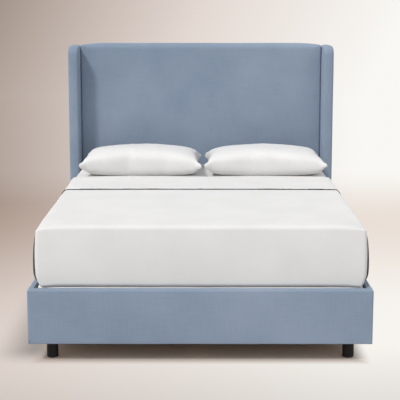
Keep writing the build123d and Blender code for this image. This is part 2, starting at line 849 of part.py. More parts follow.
# Flat sheet: tucked under at the foot, turned down over itself below the pillows
turn_y = fold_y - 2 * sheet_step
side_reach = wing_outer_x + cut_over
high_reach = headboard_height
cuff_low = mattress_bottom + cuff_hang
lower_zone = plain_block((-side_reach, foot_y, 0), (side_reach, fold_y, high_reach))
cuff_zone = plain_block((-side_reach, cuff_y + trim_width, cuff_low), (side_reach, fold_y, high_reach))
turn_zone = plain_block((-side_reach, turn_y, cuff_low), (side_reach, fold_y, high_reach))
trim_zone = plain_block((-side_reach, cuff_y, cuff_low), (side_reach, cuff_y + trim_width, high_reach))
with BuildPart() as lower_layer:
    add(skins[1])
    add(layers[1], mode=Mode.SUBTRACT)
    add(lower_zone, mode=Mode.INTERSECT)
    add(tuck_window, mode=Mode.SUBTRACT)
with BuildPart() as cuff_layer:
    add(skins[2])
    add(layers[2], mode=Mode.SUBTRACT)
    add(cuff_zone, mode=Mode.INTERSECT)
with BuildPart() as turn_layer:
    add(skins[2])
    add(layers[1], mode=Mode.SUBTRACT)
    add(turn_zone, mode=Mode.INTERSECT)
with BuildPart() as flat_sheet:
    add(lower_layer.part)
    add(cuff_layer.part)
    add(turn_layer.part)
save(flat_sheet, "flat_sheet")

# Grey trim: the binding on the turned-down edge, and the hem down each side at the foot
side_trim_y = mattress_foot_y + side_trim_inset
with BuildPart() as edge_trim:
    add(skins[2])
    add(layers[2], mode=Mode.SUBTRACT)
    add(trim_zone, mode=Mode.INTERSECT)
with BuildPart() as side_trim:
    add(skins[2])
    add(layers[2], mode=Mode.SUBTRACT)
    add(
        plain_block(
            (0, side_trim_y, cuff_low),
            (side_reach, side_trim_y + side_trim_width, mattress_top - mattress_top_radius),
        ),
        mode=Mode.INTERSECT,
    )
with BuildPart() as sheet_trim:
    add(edge_trim.part)
    add(side_trim.part)
    mirror(side_trim.part, about=Plane.YZ)
save(sheet_trim, "sheet_trim")

# Pillows: crowned, thin at the ends, flat where they lie on the mattress
pillow_length = mattress_width / 2 - pillow_margin
pillow_y = face_y - pillow_head_gap - pillow_depth / 2
pillow_z = mattress_top + sheet_step + soft_gap
stations = list(
    zip(pillow_station_share, pillow_depth_share, pillow_height_share, pillow_base_share)
)
for name, side in (("left", -1), ("right", 1)):
    pillow_x = pillow_shift + side * (pillow_length + pillow_gap) / 2
    with BuildPart() as pillow:
        for share, depth_share, height_share, base_share in [
            (-s, d, h, b) for s, d, h, b in stations[:0:-1]
        ] + stations:
            half_depth = pillow_depth / 2 * depth_share
            low = pillow_z + pillow_height * base_share
            high = low + pillow_height * height_share
            seam = low + (high - low) * pillow_seam_share
            seat = half_depth * pillow_seat_share
            with BuildSketch(Plane.YZ.offset(pillow_x + pillow_length / 2 * share)):
                with BuildLine():
                    Line((pillow_y - seat, low), (pillow_y + seat, low))
                    TangentArc((pillow_y + seat, low), (pillow_y + half_depth, seam), tangent=(1, 0))
                    ThreePointArc(
                        (pillow_y + half_depth, seam), (pillow_y, high), (pillow_y - half_depth, seam)
                    )
                    TangentArc((pillow_y - seat, low), (pillow_y - half_depth, seam), tangent=(-1, 0))
                make_face()
        loft()
        split(bisect_by=Plane.XY.offset(pillow_z), keep=Keep.TOP)
    save(pillow, f"pillow_{name}")
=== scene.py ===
import math
import bpy
import bmesh
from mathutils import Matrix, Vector, geometry, kdtree, noise


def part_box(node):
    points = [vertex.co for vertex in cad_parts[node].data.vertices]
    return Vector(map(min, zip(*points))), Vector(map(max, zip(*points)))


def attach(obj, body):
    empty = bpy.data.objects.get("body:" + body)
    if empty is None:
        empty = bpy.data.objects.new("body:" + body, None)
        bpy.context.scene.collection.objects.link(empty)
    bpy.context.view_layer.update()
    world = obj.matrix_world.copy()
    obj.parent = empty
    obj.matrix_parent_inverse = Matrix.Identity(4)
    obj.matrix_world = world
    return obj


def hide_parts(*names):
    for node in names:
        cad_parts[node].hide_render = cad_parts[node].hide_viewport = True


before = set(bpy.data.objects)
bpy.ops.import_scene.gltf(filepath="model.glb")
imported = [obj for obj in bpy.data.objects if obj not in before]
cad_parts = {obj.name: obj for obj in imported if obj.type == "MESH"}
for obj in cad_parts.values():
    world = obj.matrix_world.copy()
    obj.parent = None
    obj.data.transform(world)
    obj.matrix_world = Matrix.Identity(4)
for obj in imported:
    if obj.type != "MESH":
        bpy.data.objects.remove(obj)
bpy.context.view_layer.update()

print("frame loaded:", len(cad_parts), "nodes")


# Camera, light and floor

cameraSettings = {
    "lens": 95.84,  # mm
    "sensor": 36,  # mm
    "place": (0.009, -5.855, 1.629),
    "tiltDown": 8.518,  # degrees
    "turnLeft": 0.122,  # degrees
    "shiftY": -0.08,
}

lightSettings = {
    "sunTravel": (0.461, 0.471, -0.753),  # the way the light goes, from upper left in front
    "sunStrength": 2.15,
    "sunAngle": 9.0,  # degrees, for a soft edge
    "sunColour": (1.0, 0.985, 0.965),
    "skyStrength": 0.80,
    "skyColour": (0.985, 0.99, 1.0),
}

backdrop = {
    "leftColour": (0.376, 0.30, 0.258),
    "middleColour": (0.77, 0.69, 0.645),
    "rightColour": (0.95, 0.935, 0.905),
    "reach": (-0.229, 0.147),  # sines of the angles at which the two end colours are met
    "lean": 0.49,  # how far the colours move to the right with height
}

floorSettings = {
    "radius": 14.0, "segments": 96, "below": 0.0005,
    "albedo": (0.82, 0.69, 0.60),  # seen under the bed, where it looks browner
    "bounceAlbedo": (0.555, 0.535, 0.515),  # for the light that it throws back on the bed
    "nearLeft": (0.77, 0.683, 0.636),  # beside and in front of the bed, where no shadow falls
    "nearRight": (0.925, 0.893, 0.85),
    "nearReach": (-1.3, 3.0),  # metres along the bed, from the near colours to the wall's
    "nearest": 3.0,  # least distance from the camera at which the colours still spread
    "frontFade": (-1.55, -0.85, 0.835),  # from, to, and how much the colour drops towards the viewer
    "bandPlace": 2.2,  # metres behind the middle of the bed, where floor and wall run together
    "bandReach": 2.8,
    "bandTint": (0.865, 0.797, 0.757),
    "bedHalf": (0.77, 1.09),
    "shadowReach": (-0.09, 0.04),  # metres outside the bed, from full shadow to none
    "paintedEdgeShadowDepth": 0.38,  # painted shadow: a soft dark that follows the bed's edge on the floor
    "edgeReach": (-0.085, -0.055, 0.035),
    "paintedContactShadowDepth": 0.57,  # painted contact shadow: a soft dark beside the bed's left side
    "contactReach": 0.27, "contactX": (-0.8, -0.6), "contactY": (-0.2, 0.05),
}


def addObject(name, data):
    thing = bpy.data.objects.new(name, data)
    bpy.context.scene.collection.objects.link(thing)
    return thing


def makeCamera():
    lens = bpy.data.cameras.new("camera")
    lens.lens = cameraSettings["lens"]
    lens.sensor_width = cameraSettings["sensor"]
    lens.shift_y = cameraSettings["shiftY"]
    camera = addObject("camera", lens)
    camera.location = cameraSettings["place"]
    tilt, turn = 90 - cameraSettings["tiltDown"], cameraSettings["turnLeft"]
    camera.rotation_euler = (math.radians(tilt), 0, math.radians(turn))
    bpy.context.scene.camera = camera


def makeSun():
    lamp = bpy.data.lights.new("sun", "SUN")
    lamp.energy = lightSettings["sunStrength"]
    lamp.angle = math.radians(lightSettings["sunAngle"])
    lamp.color = lightSettings["sunColour"]
    sun = addObject("sun", lamp)
    sun.rotation_euler = Vector(lightSettings["sunTravel"]).to_track_quat("-Z", "Y").to_euler()


def sidewaysColour(share):  # the backdrop's colour from its left end to its right end
    ramp = newNode("ValToRGB", {0: share})
    elements = ramp.color_ramp.elements
    elements[0].color = (*backdrop["leftColour"], 1)
    elements[1].color = (*backdrop["rightColour"], 1)
    elements.new(0.5).color = (*backdrop["middleColour"], 1)
    return ramp.outputs[0]


def blendShaders(share, first, second, output):
    both = newNode("MixShader", {0: share, 1: first.outputs[0], 2: second.outputs[0]})
    newNode(output, {"Surface": both.outputs[0]})


def makeWorld():
    world = bpy.data.worlds.new("studio")
    bpy.context.scene.world = world
    openTree(world).nodes.clear()
    path = newNode("LightPath").outputs
    seen = calc("MAXIMUM", path["Is Camera Ray"], path["Is Glossy Ray"])
    seen = calc("MAXIMUM", seen, path["Is Transmission Ray"])
    sideways, _, height = parts(newNode("TexCoord").outputs["Generated"])
    place = cameraSettings["place"]
    aboveFloor = calc("ADD", height, place[2] / (floorSettings["radius"] - place[1]))
    leaning = calc("SUBTRACT", sideways, times(aboveFloor, backdrop["lean"]))
    share = ranged(leaning, *backdrop["reach"], 0, 1, "LINEAR")
    wall = newNode("Background", {"Color": sidewaysColour(share)})
    skyColour = (*lightSettings["skyColour"], 1)
    sky = newNode("Background", {"Color": skyColour, "Strength": lightSettings["skyStrength"]})
    blendShaders(seen, sky, wall, "OutputWorld")


def floorColour(x, y):  # away from the bed: brown on the left, pale on the right
    look = floorSettings
    distance = calc("SUBTRACT", y, cameraSettings["place"][1])
    distance = calc("MAXIMUM", distance, look["nearest"])
    share = ranged(calc("DIVIDE", x, distance), *backdrop["reach"], 0, 1, "LINEAR")
    near = tinted(share, look["nearLeft"], look["nearRight"])
    nearness = ranged(y, *look["nearReach"], 1, 0, "LINEAR")
    colour = tinted(nearness, sidewaysColour(share), near)
    fromBand = calc("ABSOLUTE", calc("SUBTRACT", y, look["bandPlace"]))
    band = ranged(fromBand, 0.0, look["bandReach"], 1, 0)
    return tinted(band, colour, look["bandTint"], "MULTIPLY")


def floorStrength(x, y, overX, overY, edge):  # darker in front, with painted shadow at the bed's left and along its edge
    look = floorSettings
    start, end, frontShare = look["frontFade"]
    front = ranged(y, start, end, frontShare, 1, "LINEAR")
    # painted contact shadow beside the bed's left side
    besideX, besideY = ranged(x, *look["contactX"], 1, 0), ranged(overY, *look["contactY"], 1, 0)
    contact = ranged(overX, 0.0, look["contactReach"], look["paintedContactShadowDepth"], 0)
    contact = times(contact, times(besideX, besideY))
    strength = times(front, calc("SUBTRACT", 1.0, contact))
    # the painted edge shadow darkens the plain colour too
    return times(strength, calc("SUBTRACT", 1.0, edge))


def makeFloor():  # lit under the bed, and a plain colour for the camera elsewhere
    look = floorSettings
    bm = bmesh.new()
    bmesh.ops.create_circle(bm, cap_ends=True, segments=look["segments"], radius=look["radius"])
    mesh = bpy.data.meshes.new("floor")
    bm.to_mesh(mesh)
    bm.free()
    floor = addObject("floor", mesh)
    floor.location = (0, 0, -look["below"])
    material = bpy.data.materials.new("pale floor")
    openTree(material).nodes.clear()
    x, y, _ = parts(objectPlace())
    overX, overY = (
        calc("SUBTRACT", calc("ABSOLUTE", value), half)
        for value, half in zip((x, y), look["bedHalf"])
    )
    away = calc("MAXIMUM", overX, overY)
    # painted shadow band along the bed's edge, strongest just inside it
    inner, middle, outer = look["edgeReach"]
    rising, falling = ranged(away, inner, middle, 0, 1), ranged(away, middle, outer, 1, 0)
    edge = times(times(rising, falling), look["paintedEdgeShadowDepth"])
    strength = floorStrength(x, y, overX, overY, edge)
    seen = newNode("LightPath").outputs["Is Camera Ray"]
    # the painted edge shadow darkens the floor's colour as the camera sees it
    albedo = tinted(edge, look["albedo"], (0, 0, 0))
    lit = newNode("BsdfDiffuse", {"Color": tinted(seen, look["bounceAlbedo"], albedo)})
    plain = newNode("Emission", {"Color": floorColour(x, y), "Strength": strength})
    fade = ranged(away, *look["shadowReach"], 0, 1)
    blendShaders(times(fade, seen), lit, plain, "OutputMaterial")
    mesh.materials.append(material)


# Small helpers for material nodes

drawing = {}  # holds the node tree that the helpers add to


def openTree(owner):  # the helpers work on this material or world from here on
    owner.use_nodes = True
    drawing["tree"] = owner.node_tree
    return owner.node_tree


def wire(node, sockets):  # gives each input a value or another node's output
    for socket, value in sockets.items():
        if isinstance(value, bpy.types.NodeSocket):
            drawing["tree"].links.new(value, node.inputs[socket])
        else:
            node.inputs[socket].default_value = value


def newNode(kind, sockets=None, **settings):
    node = drawing["tree"].nodes.new("ShaderNode" + kind)
    for name, value in settings.items():
        setattr(node, name, value)
    wire(node, sockets or {})
    return node


def calc(operation, first, second=0.0):
    return newNode("Math", {0: first, 1: second}, operation=operation).outputs[0]


def times(first, second):
    return calc("MULTIPLY", first, second)


def parts(vector):  # the x, y and z outputs of a vector
    return newNode("SeparateXYZ", {0: vector}).outputs[:]


def together(x, y, z=0.0):
    return newNode("CombineXYZ", {0: x, 1: y, 2: z}).outputs[0]


def ranged(value, lowIn, highIn, lowOut, highOut, easing="SMOOTHSTEP"):
    sockets = {0: value, 1: lowIn, 2: highIn, 3: lowOut, 4: highOut}
    return newNode("MapRange", sockets, interpolation_type=easing).outputs[0]


def mixed(share, first, second):  # numbers or outputs, by a share
    return newNode("Mix", {0: share, 2: first, 3: second}).outputs[0]


def tinted(share, first, second, blend="MIX"):  # one colour to another, by a share
    sockets = {0: share}
    for socket, colour in ((6, first), (7, second)):
        sockets[socket] = colour if isinstance(colour, bpy.types.NodeSocket) else (*colour, 1)
    return newNode("Mix", sockets, data_type="RGBA", blend_type=blend).outputs[2]


def speckle(vector, scale, detail=2.0, roughness=0.5):
    sockets = {"Vector": vector, "Scale": scale, "Detail": detail, "Roughness": roughness}
    return newNode("TexNoise", sockets).outputs[0]


def raised(shader, height, distance, before=None):  # a bump, on top of an earlier one
    sockets = {"Strength": 1.0, "Distance": distance, "Height": height}
    if before:
        sockets["Normal"] = before
    bump = newNode("Bump", sockets).outputs[0]
    wire(shader, {"Normal": bump})
    return bump


def newFinish(name, colour, roughness, metal=0.0):
    material = bpy.data.materials.new(name)
    shader = openTree(material).nodes["Principled BSDF"]
    wire(shader, {"Base Color": (*colour, 1), "Roughness": roughness, "Metallic": metal})
    return material, shader


def objectPlace():
    return newNode("TexCoord").outputs["Object"]


def clothPlace():  # two places along the cloth, chosen by the way the surface faces
    x, y, z = parts(objectPlace())
    facing = newNode("NewGeometry").outputs["True Normal"]
    faceX, faceY, faceZ = (calc("ABSOLUTE", value) for value in parts(facing))
    sideways = calc("GREATER_THAN", faceX, calc("MAXIMUM", faceY, faceZ))
    upwards = calc("GREATER_THAN", faceZ, calc("MAXIMUM", faceX, faceY))
    return mixed(sideways, x, y), mixed(upwards, z, y)


# Finishes

plainCloth = {
    "slub": 0.3, "slubAlong": 9.0, "slubAcross": 520.0, "slubHeight": 2.0, "threadShade": 0.05,
    "contrast": (0.3, 0.7), "cloud": 8.0, "cloudDepth": 0.0, "specular": 0.25,
    "sheen": 0.1, "sheenRoughness": 0.45, "sheenTint": (1.0, 1.0, 1.0),
}
clothLooks = {  # each cloth's own values, the rest as in plainCloth
    "upholstery": {
        "slot": "blue_upholstery", "dark": (0.178, 0.231, 0.312), "light": (0.25, 0.306, 0.392),
        "roughness": 0.92, "pitch": 0.0013, "depth": 0.00005, "slub": 0.5, "cloud": 2.4,
        "sheen": 0.22, "sheenTint": (0.75, 0.84, 1.0),
    },
    "sheeting": {
        "slot": "white_sheet", "dark": (0.632, 0.628, 0.624), "light": (0.676, 0.671, 0.667),
        "roughness": 0.88, "pitch": 0.0008, "depth": 0.00002, "cloud": 5.0, "cloudDepth": 0.0022,
        "sheen": 0.25,
    },
    "pillowcase": {
        "slot": "pillow_cotton", "dark": (0.645, 0.642, 0.64), "light": (0.685, 0.682, 0.68),
        "roughness": 0.86, "pitch": 0.0007, "depth": 0.00002, "cloud": 9.0, "cloudDepth": 0.002, "sheen": 0.2,
    },
    "trim": {
        "slot": "grey_trim", "dark": (0.055, 0.058, 0.06), "light": (0.095, 0.099, 0.10),
        "roughness": 0.9, "pitch": 0.0009, "depth": 0.00004, "slub": 0.4, "cloud": 20.0,
        "sheenTint": (0.9, 0.95, 1.0),
    },
    "boxSpringFabric": {
        "slot": "box_spring_fabric", "dark": (0.71, 0.70, 0.68), "light": (0.79, 0.78, 0.76),
        "roughness": 0.8, "pitch": 0.0016, "depth": 0.00006,
    },
    "ticking": {
        "slot": "ticking", "dark": (0.66, 0.655, 0.64), "light": (0.74, 0.735, 0.72),
        "roughness": 0.8, "pitch": 0.0018, "depth": 0.00008,
    },
    "dustCloth": {
        "slot": "black_dust_cloth", "dark": (0.016, 0.016, 0.017), "light": (0.034, 0.034, 0.036),
        "roughness": 0.85, "pitch": 0.0025, "depth": 0.00008, "slub": 0.8, "cloud": 30.0,
        "sheenTint": (0.9, 0.95, 1.0),
    },
}


def clothFinish(name):
    look = {**plainCloth, **clothLooks[name]}
    material, shader = newFinish(name, look["light"], look["roughness"])
    across, along = clothPlace()
    turn = 2 * math.pi / look["pitch"]
    threads = times(*(calc("SINE", times(place, turn)) for place in (across, along)))
    weft, warp = (
        speckle(together(times(across, wide), times(along, high)), 1.0)
        for wide, high in ((look["slubAlong"], look["slubAcross"]), (look["slubAcross"], look["slubAlong"]))
    )
    slubs = times(calc("ADD", weft, warp), 0.5)
    cloud = speckle(objectPlace(), look["cloud"], 4.0, 0.55)
    shade = mixed(look["slub"], cloud, slubs)
    shade = calc("ADD", shade, times(threads, look["threadShade"]))
    share = ranged(shade, *look["contrast"], 0, 1)
    wire(shader, {
        "Base Color": tinted(share, look["dark"], look["light"]), "Sheen Weight": look["sheen"],
        "Sheen Roughness": look["sheenRoughness"], "Sheen Tint": (*look["sheenTint"], 1),
        "Specular IOR Level": look["specular"],
    })
    height = calc("ADD", threads, times(slubs, look["slubHeight"]))
    bump = raised(shader, cloud, look["cloudDepth"]) if look["cloudDepth"] else None
    raised(shader, height, look["depth"], bump)
    return material


timberLooks = {
    "pine": {"dark": (0.46, 0.29, 0.14), "light": (0.68, 0.49, 0.28), "rings": 26.0, "stretch": 0.05},
    "plywood": {"dark": (0.50, 0.34, 0.19), "light": (0.66, 0.49, 0.30), "rings": 16.0, "stretch": 0.08},
}
timberSurface = {"roughness": (0.6, 0.8), "ringShare": 0.22, "contrast": (0.25, 0.8), "depth": 0.0004}


def timberFinish(name, lengthwise):  # grain that runs along the axis lengthwise
    look = {**timberSurface, **timberLooks[name]}
    material, shader = newFinish(f"{name} {'xyz'[lengthwise]}", look["light"], look["roughness"][0])
    values = parts(objectPlace())
    values[lengthwise] = times(values[lengthwise], look["stretch"])
    place = together(*values)
    wander = speckle(place, 5.0, 3.0)
    grain = speckle(place, look["rings"] * 5, 5.0, 0.62)
    rings = calc("SINE", times(wander, look["rings"] * 3))
    shade = calc("ADD", times(rings, look["ringShare"]), grain)
    share = ranged(shade, *look["contrast"], 0, 1)
    colour = tinted(share, look["light"], look["dark"])
    roughness = ranged(grain, 0.2, 0.8, *look["roughness"])
    wire(shader, {"Base Color": colour, "Roughness": roughness})
    raised(shader, shade, look["depth"])
    return material


steelLooks = {
    "zinc": {"name": "zinc plated steel", "colour": (0.60, 0.61, 0.62), "roughness": 0.34},
    "bolt": {"name": "black oxide steel", "colour": (0.20, 0.20, 0.205), "roughness": 0.4},
}
steelSurface = {"spots": 160.0, "wear": 900.0, "darker": 0.72, "duller": (-0.08, 0.14), "depth": 0.00003}


def steelFinish(kind):
    look = {**steelSurface, **steelLooks[kind]}
    material, shader = newFinish(look["name"], look["colour"], look["roughness"], 1.0)
    place = objectPlace()
    spots = speckle(place, look["spots"], 4.0, 0.6)
    wear = speckle(place, look["wear"], 2.0)
    darker = tuple(value * look["darker"] for value in look["colour"])
    share = ranged(spots, 0.35, 0.65, 0, 1)
    colour = tinted(share, darker, look["colour"])
    least, most = (look["roughness"] + more for more in look["duller"])
    wire(shader, {"Base Color": colour, "Roughness": ranged(spots, 0.3, 0.7, least, most)})
    raised(shader, wear, look["depth"])
    return material


legLook = {
    "dark": (0.009, 0.0082, 0.0077), "light": (0.018, 0.0162, 0.015), "scuffed": (0.10, 0.085, 0.07),
    "roughness": (0.42, 0.56), "specular": 0.2, "scuffHeight": (0.002, 0.014), "depth": 0.00012,
    "grain": (260.0, 260.0, 14.0),  # fine across the leg and long along it
}


def legFinish():  # black lacquer over turned wood, rubbed at the foot
    look = legLook
    material, shader = newFinish("black lacquered leg", look["light"], look["roughness"][0])
    place = objectPlace()
    values = parts(place)
    drawn = together(*(times(value, fine) for value, fine in zip(values, look["grain"])))
    grain = speckle(drawn, 1.0, 4.0)
    nearFloor = ranged(values[2], *look["scuffHeight"], 1, 0)
    scuffs = times(nearFloor, ranged(speckle(place, 240.0, 5.0), 0.5, 0.68, 0, 1))
    colour = tinted(scuffs, tinted(grain, look["dark"], look["light"]), look["scuffed"])
    roughness = ranged(grain, 0.3, 0.7, *look["roughness"])
    wire(shader, {"Base Color": colour, "Roughness": roughness, "Specular IOR Level": look["specular"]})
    raised(shader, grain, look["depth"])
    return material


nylonLook = {
    "dark": (0.62, 0.61, 0.58), "light": (0.70, 0.69, 0.66), "roughness": 0.4,
    "pores": 500.0, "depth": 0.00003,
}


def nylonFinish():
    look = nylonLook
    material, shader = newFinish("white nylon", look["light"], look["roughness"])
    place = objectPlace()
    pores = speckle(place, look["pores"], 3.0, 0.7)
    shade = mixed(0.5, pores, speckle(place, 6.0, 3.0))
    share = ranged(shade, 0.35, 0.65, 0, 1)
    wire(shader, {"Base Color": tinted(share, look["dark"], look["light"])})
    raised(shader, pores, look["depth"])
    return material


makeCamera()
makeWorld()
makeSun()
makeFloor()
zinc, boltSteel = steelFinish("zinc"), steelFinish("bolt")
blackLeg = legFinish()
nylon = nylonFinish()
coats = {name: (clothFinish(name), look["slot"]) for name, look in clothLooks.items()}
coats["zinc"] = (zinc, "zinc_steel")
print("camera, light and finishes made")


# CAD nodes that keep their own shape

sideNames = {-1: "left", 1: "right"}


def bothSides(*names):
    return [f"{name}_{label}" for name in names for label in sideNames.values()]


plainNodes = (
    (zinc, ["leg_plates"] + bothSides("head_plate", "corner_iron")),
    (boltSteel, ["leg_bolts"] + bothSides("rail_bolts", "wing_bolts")),
    (blackLeg, ["centre_legs"] + bothSides("front_leg", "rear_leg")),
    (nylon, ["nail_glides", "centre_glide_foot", "centre_glide_middle", "centre_glide_head"]),
)
timberNodes = {
    "plywood": ["headboard_panel"],
    "pine": [
        "headboard_frame", "foot_rail_board", "slats", "centre_beam", "box_spring_base_frame",
        "box_spring_upper_frame", "box_spring_posts", "box_spring_deck_slats",
    ] + bothSides("wing_frame", "side_rail_board", "corner_block", "side_ledger"),
}
grainOf = {"slats": 0, "box_spring_deck_slats": 0, "box_spring_posts": 2}  # axes, else the longest way


def longestWay(node):
    low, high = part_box(node)
    sizes = list(high - low)
    return sizes.index(max(sizes))


def dress(node, finish):
    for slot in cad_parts[node].material_slots:
        slot.material = finish


timber = {}
for wood, nodes in timberNodes.items():
    for node in nodes:
        way = grainOf.get(node, longestWay(node))
        if (wood, way) not in timber:
            timber[wood, way] = timberFinish(wood, way)
        dress(node, timber[wood, way])
for finish, nodes in plainNodes:
    for node in nodes:
        dress(node, finish)
print("CAD nodes dressed")


# Building soft slabs: an outline, a thickness, rounded rims and crowned faces

capMesh = {"domeShare": 0.4, "ringGap": 0.55, "tolerance": 0.000001}
cutting = {"window": 0.003, "near": 0.1, "tolerance": 0.00001}


def acrossX(a, b, t):  # outline in y and z, thickness along x
    return Vector((t, a, b))


def acrossY(a, b, t):  # outline in x and z, thickness along y
    return Vector((a, t, b))


def upwardZ(a, b, t):  # outline in x and y, thickness along z
    return Vector((a, b, t))


def smooth(value, low, high):  # 0 below low, 1 above high, eased between
    share = min(1.0, max(0.0, (value - low) / (high - low)))
    return share * share * (3 - 2 * share)


def smoothFrom(value, start, reach):  # the same, with both ends measured from a start
    return smooth(value, start + reach[0], start + reach[1])


def stretch(start, end, step):  # points between two ends, without the ends
    count = max(1, round((end - start).length / step))
    return [start.lerp(end, i / count) for i in range(1, count)]


def roundedCorner(corner, radius, startAngle, steps=7):  # a quarter turn, anticlockwise
    start = Vector((math.cos(startAngle), math.sin(startAngle)))
    inwards = start + Vector((-math.sin(startAngle), math.cos(startAngle)))
    centre = corner - inwards * radius
    angles = [startAngle + math.pi / 2 * i / steps for i in range(steps + 1)]
    return [centre + Vector((math.cos(angle), math.sin(angle))) * radius for angle in angles]


def closeUp(arcs, step):  # joins arcs with evenly spaced points into one anticlockwise outline
    points = []
    for i, arc in enumerate(arcs):
        points += arc + stretch(arc[-1], arcs[(i + 1) % len(arcs)][0], step)
    return points


def softRectangle(low, high, radii, step=0.03):  # radii from the lower left, anticlockwise
    corners = [Vector(low), Vector((high[0], low[1])), Vector(high), Vector((low[0], high[1]))]
    arcs = []
    for i, (corner, radius) in enumerate(zip(corners, radii)):
        arcs.append(roundedCorner(corner, radius, math.pi * (1 + i / 2)))
    return closeUp(arcs, step)


def outwards(points):
    ways = []
    for i in range(len(points)):
        along = points[(i + 1) % len(points)] - points[i - 1]
        ways.append(Vector((along.y, -along.x)).normalized())
    return ways


def domed(point, lows, highs, reach):  # 0 on the sides of a rectangle, 1 further in than the reach
    share = 1.0
    for value, low, high in zip(point, lows, highs):
        edge = min(1.0, max(0.0, min(value - low, high - value) / reach))
        share *= 1 - (1 - edge) ** 2
    return share


def capFace(bm, ring, place, lift, spacing):  # fills a ring of (point, level, vertex) with an even mesh
    flat = [p for p, _, _ in ring]
    level = ring[0][1]
    lows = Vector((min(p.x for p in flat), min(p.y for p in flat)))
    highs = Vector((max(p.x for p in flat), max(p.y for p in flat)))
    size = highs - lows
    reach = min(size) * capMesh["domeShare"]
    nearby = kdtree.KDTree(len(flat))
    for i, p in enumerate(flat):
        nearby.insert((p.x, p.y, 0), i)
    nearby.balance()
    columns, rows = (max(2, round(size[i] / spacing)) for i in range(2))
    points = []
    for j in range(1, rows):
        for i in range(columns + j % 2):  # every other row is shifted by half a cell
            p = lows + Vector((size.x * (i + 0.5 - 0.5 * (j % 2)) / columns, size.y * j / rows))
            if nearby.find((p.x, p.y, 0))[2] > spacing * capMesh["ringGap"]:
                points.append(p)
    count = len(flat)
    edges = [(i, (i + 1) % count) for i in range(count)]
    found, _, faces, origins, _, _ = geometry.delaunay_2d_cdt(
        flat + points, edges, [list(range(count))], 1, capMesh["tolerance"]
    )
    verts = {}
    for face in faces:
        for k in face:
            if k in verts:
                continue
            onRing = [i for i in origins[k] if i < count]
            if onRing:
                verts[k] = ring[onRing[0]][2]
            else:
                p = found[k]
                verts[k] = bm.verts.new(place(p.x, p.y, level + lift * domed(p, lows, highs, reach)))
        bm.faces.new([verts[k] for k in face])


def joinRings(bm, rings):  # quads between each ring of vertices and the next
    for first, second in zip(rings[:-1], rings[1:]):
        for i in range(len(first)):
            j = (i + 1) % len(first)
            bm.faces.new((first[i], first[j], second[j], second[i]))


def slab(
    outline, place, low, high, rims, crowns=(0.0, 0.0), bulge=0.0,
    spacing=(0.06, 0.06), rimSteps=6, wallSteps=4,
):
    ways = outwards(outline)
    radii = [rims(p, way) for p, way in zip(outline, ways)]
    halves = []
    for side, (face, sign) in enumerate(((low, 1), (high, -1))):
        rings = []
        for i in range(rimSteps + 1):
            angle = math.pi / 2 * (1 - i / rimSteps)
            rings.append([
                (p - way * r[side] * (1 - math.cos(angle)), face + sign * r[side] * (1 - math.sin(angle)))
                for p, way, r in zip(outline, ways, radii)
            ])
        halves.append(rings)
    wall = []
    for i in range(1, wallSteps):
        share = i / wallSteps
        swell = bulge * 4 * share * (1 - share)
        wall.append([
            (p + way * swell, a[1] + (b[1] - a[1]) * share)
            for p, way, a, b in zip(outline, ways, halves[0][-1], halves[1][-1])
        ])
    bm = bmesh.new()
    rows = []
    for ring in halves[0] + wall + halves[1][::-1]:
        rows.append([(p, t, bm.verts.new(place(p.x, p.y, t))) for p, t in ring])
    joinRings(bm, [[vert for _, _, vert in row] for row in rows])
    capFace(bm, rows[0], place, -crowns[0], spacing[0])
    capFace(bm, rows[-1], place, crowns[1], spacing[1])
    bmesh.ops.recalc_face_normals(bm, faces=bm.faces)
    return bm


def ripple(bm, amount, size, seed):  # gentle unevenness along the normals
    bm.normal_update()
    shift = Vector((seed * 7.31, seed * 3.17, seed * 5.73))
    moves = [v.normal * amount * noise.noise(v.co / size + shift) for v in bm.verts]
    for v, move in zip(bm.verts, moves):
        v.co += move


def within(face, low, high, margin=0.0):
    centre = face.calc_center_median()
    return all(low[i] - margin < centre[i] < high[i] + margin for i in range(3))


def openWindow(bm, low, high):  # takes out the faces inside a box, cut along its sides
    low, high = Vector(low), Vector(high)
    for axis in range(3):
        way = Vector([float(i == axis) for i in range(3)])
        for corner in (low, high):
            near = [f for f in bm.faces if within(f, low, high, cutting["near"])]
            around = set(near) | {e for f in near for e in f.edges} | {v for f in near for v in f.verts}
            bmesh.ops.bisect_plane(
                bm, geom=list(around), dist=cutting["tolerance"], plane_co=corner, plane_no=way
            )
    bmesh.ops.delete(bm, geom=[f for f in bm.faces if within(f, low, high)], context="FACES")


def openFace(bm, low, high, axis, level, margins, topMargins=None):  # a window in the face at a level
    first = [low[i] + margins[i] for i in range(3)]
    last = [high[i] - (topMargins or margins)[i] for i in range(3)]
    first[axis], last[axis] = level - cutting["window"], level + cutting["window"]
    openWindow(bm, first, last)


def addPiece(name, bm, coat, body, thickness=0.0, smoothing=0):
    finish, slotName = coats[coat]
    mesh = bpy.data.meshes.new(name)
    bm.to_mesh(mesh)
    bm.free()
    mesh.shade_smooth()
    mesh.materials.append(finish)
    piece = addObject(name, mesh)
    if smoothing:
        rounder = piece.modifiers.new("rounder", "SUBSURF")
        rounder.levels = rounder.render_levels = smoothing
    if thickness:
        thicken = piece.modifiers.new("thickness", "SOLIDIFY")
        thicken.thickness = thickness
        thicken.offset = -1
    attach(piece, body)
    return piece


def upholster(name, bm, look, seed, *nodes):  # an uneven cover over its padding
    ripple(bm, *look["ripple"], seed)
    cover = addPiece(name, bm, "upholstery", "bed_frame", look["thickness"])
    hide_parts(*nodes)


# Headboard

headboard = {
    "topRim": 0.036, "sideRim": 0.014, "backRim": 0.007, "crown": 0.007, "rimFade": 0.06,
    "shoulderRun": 0.165, "shoulderDrop": 0.009, "shoulderSteps": 12, "cornerRadius": 0.017,
    "stapleMargin": 0.034, "thickness": 0.0016, "fill": 0.9, "ripple": (0.0012, 0.22),
}


